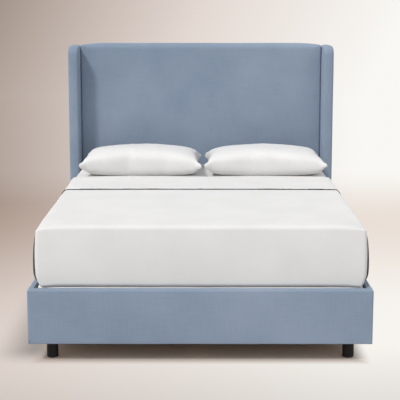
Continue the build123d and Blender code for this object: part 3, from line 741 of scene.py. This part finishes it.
def headboardOutline(low, high):
    run, drop, radius = headboard["shoulderRun"], headboard["shoulderDrop"], headboard["cornerRadius"]
    steps = headboard["shoulderSteps"]
    right = []
    for i in range(steps + 1):  # the shoulder falls away from level to its corner
        share = i / steps
        x = high.x - radius - (run - radius) * share
        right.append(Vector((x, high.z - drop * (1 - share) ** 2)))
    corner = roundedCorner(Vector((high.x, right[0].y)), radius, 0.0)
    arcs = [
        roundedCorner(Vector((-high.x, low.z)), headboard["backRim"], math.pi),
        roundedCorner(Vector((high.x, low.z)), headboard["backRim"], 1.5 * math.pi),
        corner[:-1] + right,
        [Vector((-p.x, p.y)) for p in right[::-1] + corner[::-1][1:]],
    ]
    return closeUp(arcs, 0.03)


def makeHeadboard():
    low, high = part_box("headboard_cover")

    def rims(point, way):  # the deep rim along the top fades towards the corners
        fromCorner = smooth(high.x - abs(point.x), headboard["cornerRadius"], headboard["rimFade"])
        deeper = (headboard["topRim"] - headboard["sideRim"]) * smooth(way.y, 0.2, 0.9) * fromCorner
        return headboard["sideRim"] + deeper, headboard["backRim"]

    crown, margin = headboard["crown"], headboard["stapleMargin"]
    bm = slab(
        headboardOutline(low, high), acrossY, low.y + crown, high.y, rims, (crown, 0.0),
        spacing=(0.03, 0.06), rimSteps=9,
    )
    topMargins = (margin, 0, headboard["shoulderDrop"] + margin)
    openFace(bm, low, high, 1, high.y, (margin, 0, margin), topMargins)
    upholster("headboardCover", bm, headboard, 1, "headboard_cover", "headboard_pad")


backCloth = {"thickness": 0.0006, "puckerSize": 14, "puckerSeed": 3.1}
headboardBack = {
    "node": "headboard_back_cloth", "body": "bed_frame", "wood": "headboard_frame", "up": (0, 1, 0),
    "pieces": ("headboardBackCloth", "headboardStaples"), "cells": (56, 48), "pull": 0.0009,
    "clothAbove": 0.0002, "staplesAbove": 0.0002, "spacing": 0.045,
    "order": (0, 1, 2, 3),  # in which the staples go round the corners
}
staple = {"wide": 0.0095, "wire": 0.0011, "proud": 0.0008, "sunk": 0.0004, "tilt": 0.25, "inset": 0.008}


def staplesAlong(bm, start, end, spacing, up):
    way = (end - start).normalized()
    over = up.cross(way).normalized()
    count = max(2, round((end - start).length / spacing))
    for i in range(count):
        middle = start.lerp(end, (i + 0.5) / count)
        along = (way + over * (noise.noise(middle * 40) * staple["tilt"])).normalized()
        cross = up.cross(along)
        corners = []
        for x in (-staple["wide"] / 2, staple["wide"] / 2):
            for y in (-staple["wire"] / 2, staple["wire"] / 2):
                for z in (-staple["sunk"], staple["proud"]):
                    corners.append(bm.verts.new(middle + along * x + cross * y + up * z))
        for quad in ((0, 1, 3, 2), (4, 6, 7, 5), (0, 4, 5, 1), (2, 3, 7, 6), (1, 5, 7, 3), (0, 2, 6, 4)):
            bm.faces.new([corners[k] for k in quad])


def stretchedCloth(low, high, level, place, look):  # flat, with slight puckers inside its rim
    columns, rows = look["cells"]
    bm = bmesh.new()
    grid = []
    for j in range(rows + 1):
        row = []
        for i in range(columns + 1):
            a = low[0] + (high[0] - low[0]) * i / columns
            b = low[1] + (high[1] - low[1]) * j / rows
            at = Vector((a * backCloth["puckerSize"], b * backCloth["puckerSize"], backCloth["puckerSeed"]))
            pucker = look["pull"] * noise.noise(at) if 0 < i < columns and 0 < j < rows else 0.0
            row.append(bm.verts.new(place(a, b, level + pucker)))
        grid.append(row)
    for j in range(rows):
        for i in range(columns):
            bm.faces.new((grid[j][i], grid[j][i + 1], grid[j + 1][i + 1], grid[j + 1][i]))
    return bm


def closeBack(look, low, high, level, place):  # a dust cloth and the staples that hold it
    clothName, staplesName = look["pieces"]
    bm = stretchedCloth(low, high, level + look["clothAbove"], place, look)
    sheet = addPiece(clothName, bm, "dustCloth", look["body"], backCloth["thickness"])
    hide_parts(look["node"])
    (a, b), (c, d) = [value + staple["inset"] for value in low], [value - staple["inset"] for value in high]
    corners = ((a, b), (c, b), (c, d), (a, d))
    ring = [place(*corners[k], level + look["staplesAbove"]) for k in look["order"]]
    bm = bmesh.new()
    for i, corner in enumerate(ring):
        staplesAlong(bm, corner, ring[(i + 1) % len(ring)], look["spacing"], Vector(look["up"]))
    bmesh.ops.recalc_face_normals(bm, faces=bm.faces)
    addPiece(staplesName, bm, "zinc", look["body"])


def makeHeadboardBack():
    low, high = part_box("headboard_back_cloth")
    top = high.z - headboard["shoulderDrop"]
    closeBack(headboardBack, (low.x, low.z), (high.x, top), high.y, acrossY)


makeHeadboard()
makeHeadboardBack()
print("headboard made")


# Wings

wing = {
    "frontRim": 0.016, "topRim": 0.02, "backRim": 0.006, "backCorner": 0.012, "cornerRadius": 0.06,
    "bulge": 0.002, "crown": 0.0015, "margins": (0.014, 0.034, 0), "thickness": 0.0014, "fill": 0.9,
    "ripple": (0.0008, 0.16),
}


def makeWing(side):
    label = sideNames[side]
    low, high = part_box(f"wing_cover_{label}")
    small, bulge, crown = wing["backRim"], wing["bulge"], wing["crown"]
    radii = (small, small, wing["backCorner"], wing["cornerRadius"])
    outline = softRectangle((low.y + bulge, low.z), (high.y, high.z - bulge), radii)

    def rims(point, way):
        front = smooth(-way.x, 0.1, 0.8)
        top = smooth(way.y, 0.3, 0.95)
        radius = max(small, wing["frontRim"] * front, wing["topRim"] * top)
        return radius, radius

    bm = slab(
        outline, acrossX, low.x + crown, high.x - crown, rims, (crown, crown), bulge,
        spacing=(0.03, 0.03), rimSteps=8,
    )
    openFace(bm, low, high, 2, low.z, wing["margins"])
    upholster(f"wingCover_{label}", bm, wing, 3 + side, f"wing_cover_{label}", f"wing_pad_{label}")


for side in sideNames:
    makeWing(side)
print("wings made")


# Rails

rail = {
    "rim": 0.009, "lowerRimShare": 0.6, "innerRim": 0.003, "rimFade": 0.04, "crown": 0.002,
    "cornerRadius": 0.011, "lowerCorner": 0.005, "sideCorner": 0.003,
    "endMargin": 0.092, "stapleMargin": 0.034, "thickness": 0.0014, "fill": 0.95, "ripple": (0.0007, 0.13),
}


def makeFootRail():
    low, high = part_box("foot_rail_cover")
    radii = (rail["lowerCorner"],) * 2 + (rail["cornerRadius"],) * 2
    outline = softRectangle((low.x, low.z), (high.x, high.z), radii, 0.025)
    crown = rail["crown"]

    def rims(point, way):
        return rail["rim"] * (1 if way.y > -0.5 else rail["lowerRimShare"]), rail["innerRim"]

    bm = slab(
        outline, acrossY, low.y + crown, high.y, rims, (crown, 0.0), spacing=(0.03, 0.06), rimSteps=7
    )
    openFace(bm, low, high, 1, high.y, (rail["endMargin"], 0, rail["stapleMargin"]))
    upholster("footRailCover", bm, rail, 6, "foot_rail_cover", "foot_rail_pad")


def makeSideRail(side):
    label = sideNames[side]
    low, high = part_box(f"side_rail_cover_{label}")
    outline = softRectangle((low.y, low.z), (high.y, high.z), (rail["sideCorner"],) * 4)
    inner = rail["innerRim"]

    def rims(point, way):
        fromEnd = smooth(min(point.x - low.y, high.y - point.x), inner, rail["rimFade"])
        outer = inner + (rail["rim"] - inner) * fromEnd
        return (outer, inner) if side < 0 else (inner, outer)

    crowns = (rail["crown"], 0.0) if side < 0 else (0.0, rail["crown"])
    bm = slab(
        outline, acrossX, low.x + crowns[0], high.x - crowns[1], rims, crowns,
        spacing=(0.04, 0.04), rimSteps=7,
    )
    innerX = high.x if side < 0 else low.x
    openFace(bm, low, high, 0, innerX, (0, rail["endMargin"], rail["stapleMargin"]))
    nodes = (f"side_rail_cover_{label}", f"side_rail_pad_{label}")
    upholster(f"sideRailCover_{label}", bm, rail, 8 + side, *nodes)


makeFootRail()
for side in sideNames:
    makeSideRail(side)
print("rails made")


# Box spring

boxSpring = {
    "corner": 0.035, "topRim": 0.008, "bottomRim": 0.005, "bulge": 0.0015, "stapleMargin": 0.034,
    "thickness": 0.0014, "cord": 0.0026, "cordPlace": 0.014, "cordOut": 0.0004, "cordRoom": 0.6,
    "footRise": 0.0042, "riseReach": (0.02, 0.12), "riseHeight": (-0.08, -0.01),
}
boxSpringBack = {
    "node": "box_spring_dust_cloth", "body": "box_spring", "wood": "box_spring_base_frame", "up": (0, 0, -1),
    "pieces": ("boxSpringDustCloth", "boxSpringStaples"), "cells": (48, 64), "pull": 0.0006,
    "clothAbove": 0.0004, "staplesAbove": 0.0, "spacing": 0.05, "order": (0, 3, 2, 1),
}


def tubeRound(bm, outline, level, radius, grow, sides=8):  # a piping cord round a level outline
    turns = [k * 2 * math.pi / sides for k in range(sides)]
    rings = []
    for p, way in zip(outline, outwards(outline)):
        centre = p + way * grow
        rings.append([
            bm.verts.new((
                centre.x + way.x * radius * math.cos(turn),
                centre.y + way.y * radius * math.cos(turn),
                level + radius * math.sin(turn),
            ))
            for turn in turns
        ])
    joinRings(bm, rings + rings[:1])
    bmesh.ops.recalc_face_normals(bm, faces=bm.faces)


def raiseFoot(bm, low, high):  # the padding stands a little higher along the foot edge
    for v in bm.verts:
        along = 1 - smoothFrom(v.co.y, low.y, boxSpring["riseReach"])
        v.co.z += boxSpring["footRise"] * along * smoothFrom(v.co.z, high.z, boxSpring["riseHeight"])


def makeBoxSpring():
    low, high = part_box("box_spring_cover")
    cord, margin = boxSpring["cord"], boxSpring["stapleMargin"]
    inset = boxSpring["bulge"] + cord * boxSpring["cordRoom"]
    near, far = (low.x + inset, low.y + inset), (high.x - inset, high.y - inset)
    outline = softRectangle(near, far, (boxSpring["corner"],) * 4)
    bm = slab(
        outline, upwardZ, low.z, high.z, lambda point, way: (boxSpring["bottomRim"], boxSpring["topRim"]),
        bulge=boxSpring["bulge"], spacing=(0.09, 0.06), rimSteps=5,
    )
    openFace(bm, low, high, 2, low.z, (margin, margin, 0))
    raiseFoot(bm, low, high)
    cover = addPiece("boxSpringCover", bm, "boxSpringFabric", "box_spring", boxSpring["thickness"])
    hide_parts("box_spring_cover", "box_spring_pad")
    bm = bmesh.new()
    for level in (low.z + boxSpring["cordPlace"], high.z - boxSpring["cordPlace"]):
        tubeRound(bm, outline, level, cord, boxSpring["cordOut"])
    raiseFoot(bm, low, high)
    addPiece("boxSpringPiping", bm, "boxSpringFabric", "box_spring")


def makeDustCloth():
    low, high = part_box("box_spring_dust_cloth")
    closeBack(boxSpringBack, (low.x, low.y), (high.x, high.y), low.z, upwardZ)


makeBoxSpring()
makeDustCloth()
print("box spring made")


# Mattress and bedding

mattress = {
    "corner": 0.011, "topRim": 0.021, "bottomRim": 0.025, "frontBottomRim": 0.02, "rimFade": 0.09,
    "leastRim": 0.95, "bulge": 0.006, "crown": 0.002, "offCentre": 0.003, "sewnIn": 0.0008,
    "frontRise": 0.006, "riseReach": (0.05, 0.5),  # the top rises towards the foot
    "cornerDrop": 0.0105, "dropReach": (-0.11, -0.005),  # but not at its sides
    "cornerRound": 0.009, "roundReach": (-0.035, 0.003), "roundLength": (0, 0.12),
    "footLift": 0.005, "liftReach": (0.02, 0.14), "lowHeight": 0.1,  # the lower edge curls up at the foot
    "tuckIn": 0.014, "tuckHeight": 0.052, "tuckPower": 1.7, "tuckReach": (-0.2, 0),
    "wave": 0.0011, "waveSize": 0.23, "waveReach": (-0.45, -0.05),
    "tuck": 0.09,  # how far the sheets reach under it
}
sheets = {
    "step": 0.0023, "puff": 0.004, "footPuff": 0.4, "thickness": 0.0011, "flat": (2.286, 2.591),
    "foldRadius": 0.0035, "foldSteps": 6, "foldWeld": 0.009, "nearFold": 0.0001, "openDepth": 0.02,
    "cuffSlant": 0.25, "slantReach": 0.035, "cuffRow": 0.03, "cuffHang": 0.045, "cuffLonger": 0.0255,
    "cuffGap": 0.0026, "settleRows": 4,
    "trimWidth": 0.0125, "trimLifts": (0.0009, 0.0, -0.0009), "trimThickness": 0.0028, "trimOffset": 0.4,
}
hem = {
    "behindFoot": 0.062, "aboveBottom": 0.005, "belowTop": 0.04, "rows": 24,
    "proud": 0.0165, "flush": 0.0005, "peak": 0.7, "fullness": 0.6,
    "halfWidth": 0.007, "flatShare": 0.6, "chamfer": 0.0012, "depth": 0.008, "lean": 0.006, "curl": 0.02,
}


def wave(co):  # one unevenness shared by every layer, so that none passes through the next
    quiet = 1 - smooth(co.y, *mattress["waveReach"])
    return mattress["wave"] * quiet * noise.noise(Vector((co.x, co.y, co.z)) / mattress["waveSize"])


def mattressForm(grow, puff=0.0):
    low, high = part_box("mattress_ticking")
    bulge, corner = mattress["bulge"], mattress["corner"]
    half = high.x - bulge + grow + puff
    near, far = low.y + bulge - grow - puff * sheets["footPuff"], high.y - bulge + grow
    outline = softRectangle((-half, near), (half, far), (corner + puff,) * 4)
    least = corner * mattress["leastRim"]

    def rims(point, way):  # both rims grow away from the upright corners
        beside = max(half - abs(point.x), min(point.y - low.y, high.y - point.y))
        fromCorner = smooth(beside, corner, mattress["rimFade"])
        front = mattress["frontBottomRim"]
        bottom = front + (mattress["bottomRim"] - front) * way.x ** 2
        return tuple(least + (rim - least) * fromCorner for rim in (bottom, mattress["topRim"]))

    crowns = (0.0, mattress["crown"])
    return slab(
        outline, upwardZ, low.z - grow, high.z + grow, rims, crowns, bulge,
        spacing=(0.09, 0.035), rimSteps=8, wallSteps=6,
    )


def tucked(height):  # how far the side is drawn in, as a share, at a height above the mattress's bottom
    return max(0.0, 1 - height / mattress["tuckHeight"]) ** mattress["tuckPower"]


def shake(bm):  # the same unevenness and settling for every layer
    low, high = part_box("mattress_ticking")
    bm.normal_update()
    moves = []
    for v in bm.verts:
        x, y, z = v.co
        atSide = abs(x)
        drop = mattress["cornerDrop"] * smoothFrom(atSide, high.x, mattress["dropReach"])
        rise = mattress["frontRise"] - drop
        rise *= 1 - smoothFrom(y, low.y, mattress["riseReach"])
        rounding = smoothFrom(atSide, high.x, mattress["roundReach"])
        rounding *= 1 - smoothFrom(y, low.y, mattress["roundLength"])
        rise -= mattress["cornerRound"] * rounding
        inwards = mattress["tuckIn"] * min(1.0, tucked(z - low.z))
        inwards *= smoothFrom(atSide, high.x, mattress["tuckReach"])
        lift = mattress["footLift"] * (1 - smoothFrom(y, low.y, mattress["liftReach"]))
        above = low.z + mattress["lowHeight"]
        lift *= 1 - smooth(z, low.z, above)
        aside = mattress["offCentre"] - math.copysign(inwards, x)
        moves.append(v.normal * wave(v.co) + Vector((aside, 0, rise * smooth(z, above, high.z) + lift)))
    for v, move in zip(bm.verts, moves):
        v.co += move


def openUnderneath(bm):  # leaves only the tucked margin under the mattress
    low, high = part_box("mattress_ticking")
    tuck, depth = mattress["tuck"], sheets["openDepth"]
    first = (low.x + tuck, low.y + tuck, low.z - depth)
    openWindow(bm, first, (high.x - tuck, high.y - tuck, low.z + depth))


def makeMattress():
    bm = mattressForm(-mattress["sewnIn"])
    shake(bm)
    piece = addPiece("mattressTicking", bm, "ticking", "mattress")
    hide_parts("mattress_ticking", "mattress_core")


def makeFittedSheet():
    bm = mattressForm(sheets["step"])
    openUnderneath(bm)
    shake(bm)
    piece = addPiece("fittedSheet", bm, "sheeting", "mattress", sheets["thickness"])
    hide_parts("fitted_sheet")


def nextRow(bm, edges, move):  # extrudes open edges and moves the new row
    made = bmesh.ops.extrude_edge_only(bm, edges=edges)["geom"]
    rowVerts = [g for g in made if isinstance(g, bmesh.types.BMVert)]
    rowEdges = [g for g in made if isinstance(g, bmesh.types.BMEdge) and all(v in rowVerts for v in g.verts)]
    for v in rowVerts:
        v.co += move(v.co)
    return rowEdges


def sideways(co, half, top):  # the way out of the mattress in a section across it
    rim = mattress["topRim"]
    inner = Vector((min(max(co.x, rim - half), half - rim), 0, min(co.z, top - rim)))
    way = Vector((co.x - inner.x, 0, co.z - inner.z))
    return way.normalized() if way.length > 1e-6 else Vector((0, 0, 1))


def slant(co, half, top):  # the cuff's edge slips towards the foot as it goes over the mattress edge
    overEdge = smooth(abs(co.x) + (top - co.z), half - mattress["topRim"], half + sheets["slantReach"])
    return 1 + sheets["cuffSlant"] * overEdge


def makeFlatSheet():
    low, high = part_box("mattress_ticking")
    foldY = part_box("flat_sheet")[1].y
    grow = 2 * sheets["step"]
    half, top = high.x + grow + sheets["puff"], high.z + grow
    hang = low.z + sheets["cuffHang"]
    bm = mattressForm(grow, sheets["puff"])
    openUnderneath(bm)
    bmesh.ops.bisect_plane(
        bm, geom=bm.verts[:] + bm.edges[:] + bm.faces[:], dist=cutting["tolerance"],
        plane_co=(0, foldY, 0), plane_no=(0, 1, 0), clear_outer=True,
    )
    onFold = [v for v in bm.verts if abs(v.co.y - foldY) < sheets["nearFold"]]
    bmesh.ops.remove_doubles(bm, verts=onFold, dist=sheets["foldWeld"])
    onFold = {v for v in bm.verts if abs(v.co.y - foldY) < sheets["nearFold"] and v.co.z > hang}
    row = [e for e in bm.edges if len(e.link_faces) == 1 and onFold.issuperset(e.verts)]
    rounded, steps = sheets["foldRadius"], sheets["foldSteps"]
    for i in range(steps):  # the small round fold
        before, after = math.pi * i / steps, math.pi * (i + 1) / steps
        outBy = rounded * (math.cos(before) - math.cos(after))
        alongBy = Vector((0, rounded * (math.sin(after) - math.sin(before)), 0))
        row = nextRow(bm, row, lambda co: sideways(co, half, top) * outBy + alongBy)
    trimPlaces = [v.co.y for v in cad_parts["sheet_trim"].data.vertices]
    trimEdge = min(y for y in trimPlaces if y > -0.5)  # of the trim at the head half of the bed
    cuffEnd = trimEdge + sheets["trimWidth"] - sheets["cuffLonger"]
    count = round((foldY - cuffEnd) / sheets["cuffRow"])
    along = (cuffEnd - foldY) / count
    settle = (2 * rounded - sheets["cuffGap"]) / sheets["settleRows"]
    for i in range(count):  # the cuff, which settles on the sheet in its first rows
        inwards = settle if i < sheets["settleRows"] else 0.0
        row = nextRow(
            bm, row,
            lambda co: Vector((0, along * slant(co, half, top), 0)) - sideways(co, half, top) * inwards,
        )
    edgeRow = [(e.verts[0].co.copy(), e.verts[1].co.copy()) for e in row]
    shake(bm)
    piece = addPiece("flatSheet", bm, "sheeting", "mattress", sheets["thickness"])
    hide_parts("flat_sheet")
    return piece, edgeRow, half, top


def makeTrim(edgeRow, half, top):
    bm = bmesh.new()
    verts = {}

    def vertAt(co):
        key = tuple(round(value, 5) for value in co)
        if key not in verts:
            verts[key] = bm.verts.new(co)
        return verts[key]

    row = [bm.edges.new((vertAt(a), vertAt(b))) for a, b in edgeRow]
    along = Vector((0, -sheets["trimWidth"] / len(sheets["trimLifts"]), 0))
    for lift in sheets["trimLifts"]:
        row = nextRow(bm, row, lambda co: along + sideways(co, half, top) * lift)
    shake(bm)
    piece = addPiece("cuffTrim", bm, "trim", "mattress", sheets["trimThickness"])
    piece.modifiers["thickness"].offset = sheets["trimOffset"]
    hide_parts("sheet_trim")
    return piece


def makeSideHem(side, half):  # the grey hem that stands proud of the mattress side behind the foot corner
    low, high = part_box("mattress_ticking")
    bottom, topZ = low.z + hem["aboveBottom"], high.z - hem["belowTop"]
    wide, curl = hem["halfWidth"], hem["curl"]
    bm = bmesh.new()
    rings = []
    for i in range(hem["rows"] + 1):
        share = i / hem["rows"]
        z = bottom + (topZ - bottom) * share
        proud = hem["flush"] + hem["proud"] * math.sin(math.pi * share ** hem["peak"]) ** hem["fullness"]
        curled = curl - math.sqrt(curl ** 2 - max(0.0, curl - (z - low.z)) ** 2)
        edge = half - mattress["tuckIn"] * tucked(z - low.z) - curled
        inner, outer = edge - hem["depth"], edge + proud
        middle = low.y + hem["behindFoot"] + hem["lean"] * math.sin(math.pi * share * 1.3)
        section = [
            (inner, -wide), (outer - hem["chamfer"], -wide), (outer, -wide * hem["flatShare"]),
            (outer, wide * hem["flatShare"]), (outer - hem["chamfer"], wide), (inner, wide),
        ]
        rings.append([
            bm.verts.new((side * x + mattress["offCentre"], middle + y, z)) for x, y in section
        ])
    joinRings(bm, rings)
    bm.faces.new(rings[0])
    bm.faces.new(rings[-1])
    bmesh.ops.recalc_face_normals(bm, faces=bm.faces)
    return addPiece(f"sideHem_{sideNames[side]}", bm, "trim", "mattress", smoothing=1)


def makeBedding():
    makeMattress()
    makeFittedSheet()
    sheet, edgeRow, half, top = makeFlatSheet()
    sewnOn = [makeTrim(edgeRow, half, top)] + [makeSideHem(side, half) for side in sideNames]


makeBedding()
print("mattress and bedding made")


# Pillows

pillow = {
    "flat": (0.80, 0.56), "cells": (72, 44), "lens": 0.02, "unrest": 0.004, "frames": 32,
    "seat": 0.34,  # share of the height that the mattress flattens
    "settle": 0.08,
    "wrinkle": 0.0022,
    "soften": 22,  # passes that ease the solver's sharp folds
    "ear": (0.012, 0.05),  # the corner's cloth that the easing leaves alone
    "plump": 0.62,  # below 1 squares up the shoulders under the case
    "quickHeight": 0.13, "fill": 0.7,
}
fillSettings = {
    "quality": 6, "mass": 0.25, "tension_stiffness": 18, "compression_stiffness": 18,
    "shear_stiffness": 4, "bending_stiffness": 0.4, "use_pressure": True, "uniform_pressure_force": 7.0,
}


def pillowBlank(seed):  # two layers of cloth sewn at their rim
    width, depth = pillow["flat"]
    columns, rows = pillow["cells"]
    bm = bmesh.new()
    layers = {}
    for j in range(rows + 1):
        for i in range(columns + 1):
            x, y = width * (i / columns - 0.5), depth * (j / rows - 0.5)
            rim = i in (0, columns) or j in (0, rows)
            fall = (1 - (2 * x / width) ** 4) * (1 - (2 * y / depth) ** 4)
            unrest = pillow["unrest"] * noise.noise(Vector((x * 9, y * 9, seed * 4.7)))
            for layer in (1, -1):
                if rim and layer < 0:
                    layers[i, j, layer] = layers[i, j, 1]
                    continue
                z = 0.0 if rim else layer * pillow["lens"] * fall + unrest
                layers[i, j, layer] = bm.verts.new((x, y, z))
    for layer in (1, -1):
        for j in range(rows):
            for i in range(columns):
                cell = ((i, j), (i + 1, j), (i + 1, j + 1), (i, j + 1))
                bm.faces.new([layers[a, b, layer] for a, b in cell[::layer]])
    return bm


def inflate(mesh):  # fills the blank with the cloth solver and returns the settled mesh
    body = addObject("pillowBlank", mesh)
    solver = body.modifiers.new("fill", "CLOTH")
    for name, value in fillSettings.items():
        setattr(solver.settings, name, value)
    solver.settings.effector_weights.gravity = 0
    solver.collision_settings.use_collision = False
    solver.point_cache.frame_start = 1
    solver.point_cache.frame_end = pillow["frames"]
    for number in range(1, pillow["frames"] + 1):
        bpy.context.scene.frame_set(number)
    settled = bpy.data.meshes.new_from_object(body.evaluated_get(bpy.context.evaluated_depsgraph_get()))
    bpy.data.objects.remove(body)
    bpy.context.scene.frame_set(1)
    return settled


def plumpUp(bm, seed):  # eases the sharp folds and fills the shoulders, but leaves the four ears pointed
    width, depth = max(v.co.x for v in bm.verts), max(v.co.y for v in bm.verts)
    free = []
    for v in bm.verts:
        closer, further = sorted((width - abs(v.co.x), depth - abs(v.co.y)))
        if closer > pillow["ear"][0] or further > pillow["ear"][1]:
            free.append(v)
    for _ in range(pillow["soften"]):
        bmesh.ops.smooth_vert(bm, verts=free, factor=0.5, use_axis_x=True, use_axis_y=True, use_axis_z=True)
    most = max(abs(v.co.z) for v in bm.verts)
    for v in bm.verts:
        v.co.z = math.copysign(most * (abs(v.co.z) / most) ** pillow["plump"], v.co.z)
    bm.normal_update()
    for v in bm.verts:
        across = noise.noise(Vector((v.co.x * 26 + v.co.z * 20, v.co.y * 7, v.co.z * 9 + seed * 3.3)))
        v.co += v.normal * pillow["wrinkle"] * across


def span(bm, axis):
    values = [v.co[axis] for v in bm.verts]
    return min(values), max(values)


def makePillow(side, seed):
    label = sideNames[side]
    low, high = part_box(f"pillow_{label}")
    bm = pillowBlank(seed)
    mesh = bpy.data.meshes.new("pillowCloth")
    bm.to_mesh(mesh)
    bm.free()
    mesh = inflate(mesh)
    bm = bmesh.new()
    bm.from_mesh(mesh)
    plumpUp(bm, seed)
    lowest, highest = span(bm, 2)
    level = lowest + (highest - lowest) * pillow["seat"] * 0.5
    for v in bm.verts:
        if v.co.z < level:
            v.co.z = level + (v.co.z - level) * pillow["settle"]
    for axis in range(3):
        start, end = span(bm, axis)
        for v in bm.verts:
            v.co[axis] = low[axis] + (high[axis] - low[axis]) * (v.co[axis] - start) / (end - start)
    piece = addPiece(f"pillow_{label}_case", bm, "pillowcase", f"pillow_{label}", smoothing=1)
    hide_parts(f"pillow_{label}")


makePillow(-1, 1)
makePillow(1, 2)
print("pillows made")

bpy.context.scene.view_settings.view_transform = "Standard"
bpy.context.view_layer.update()
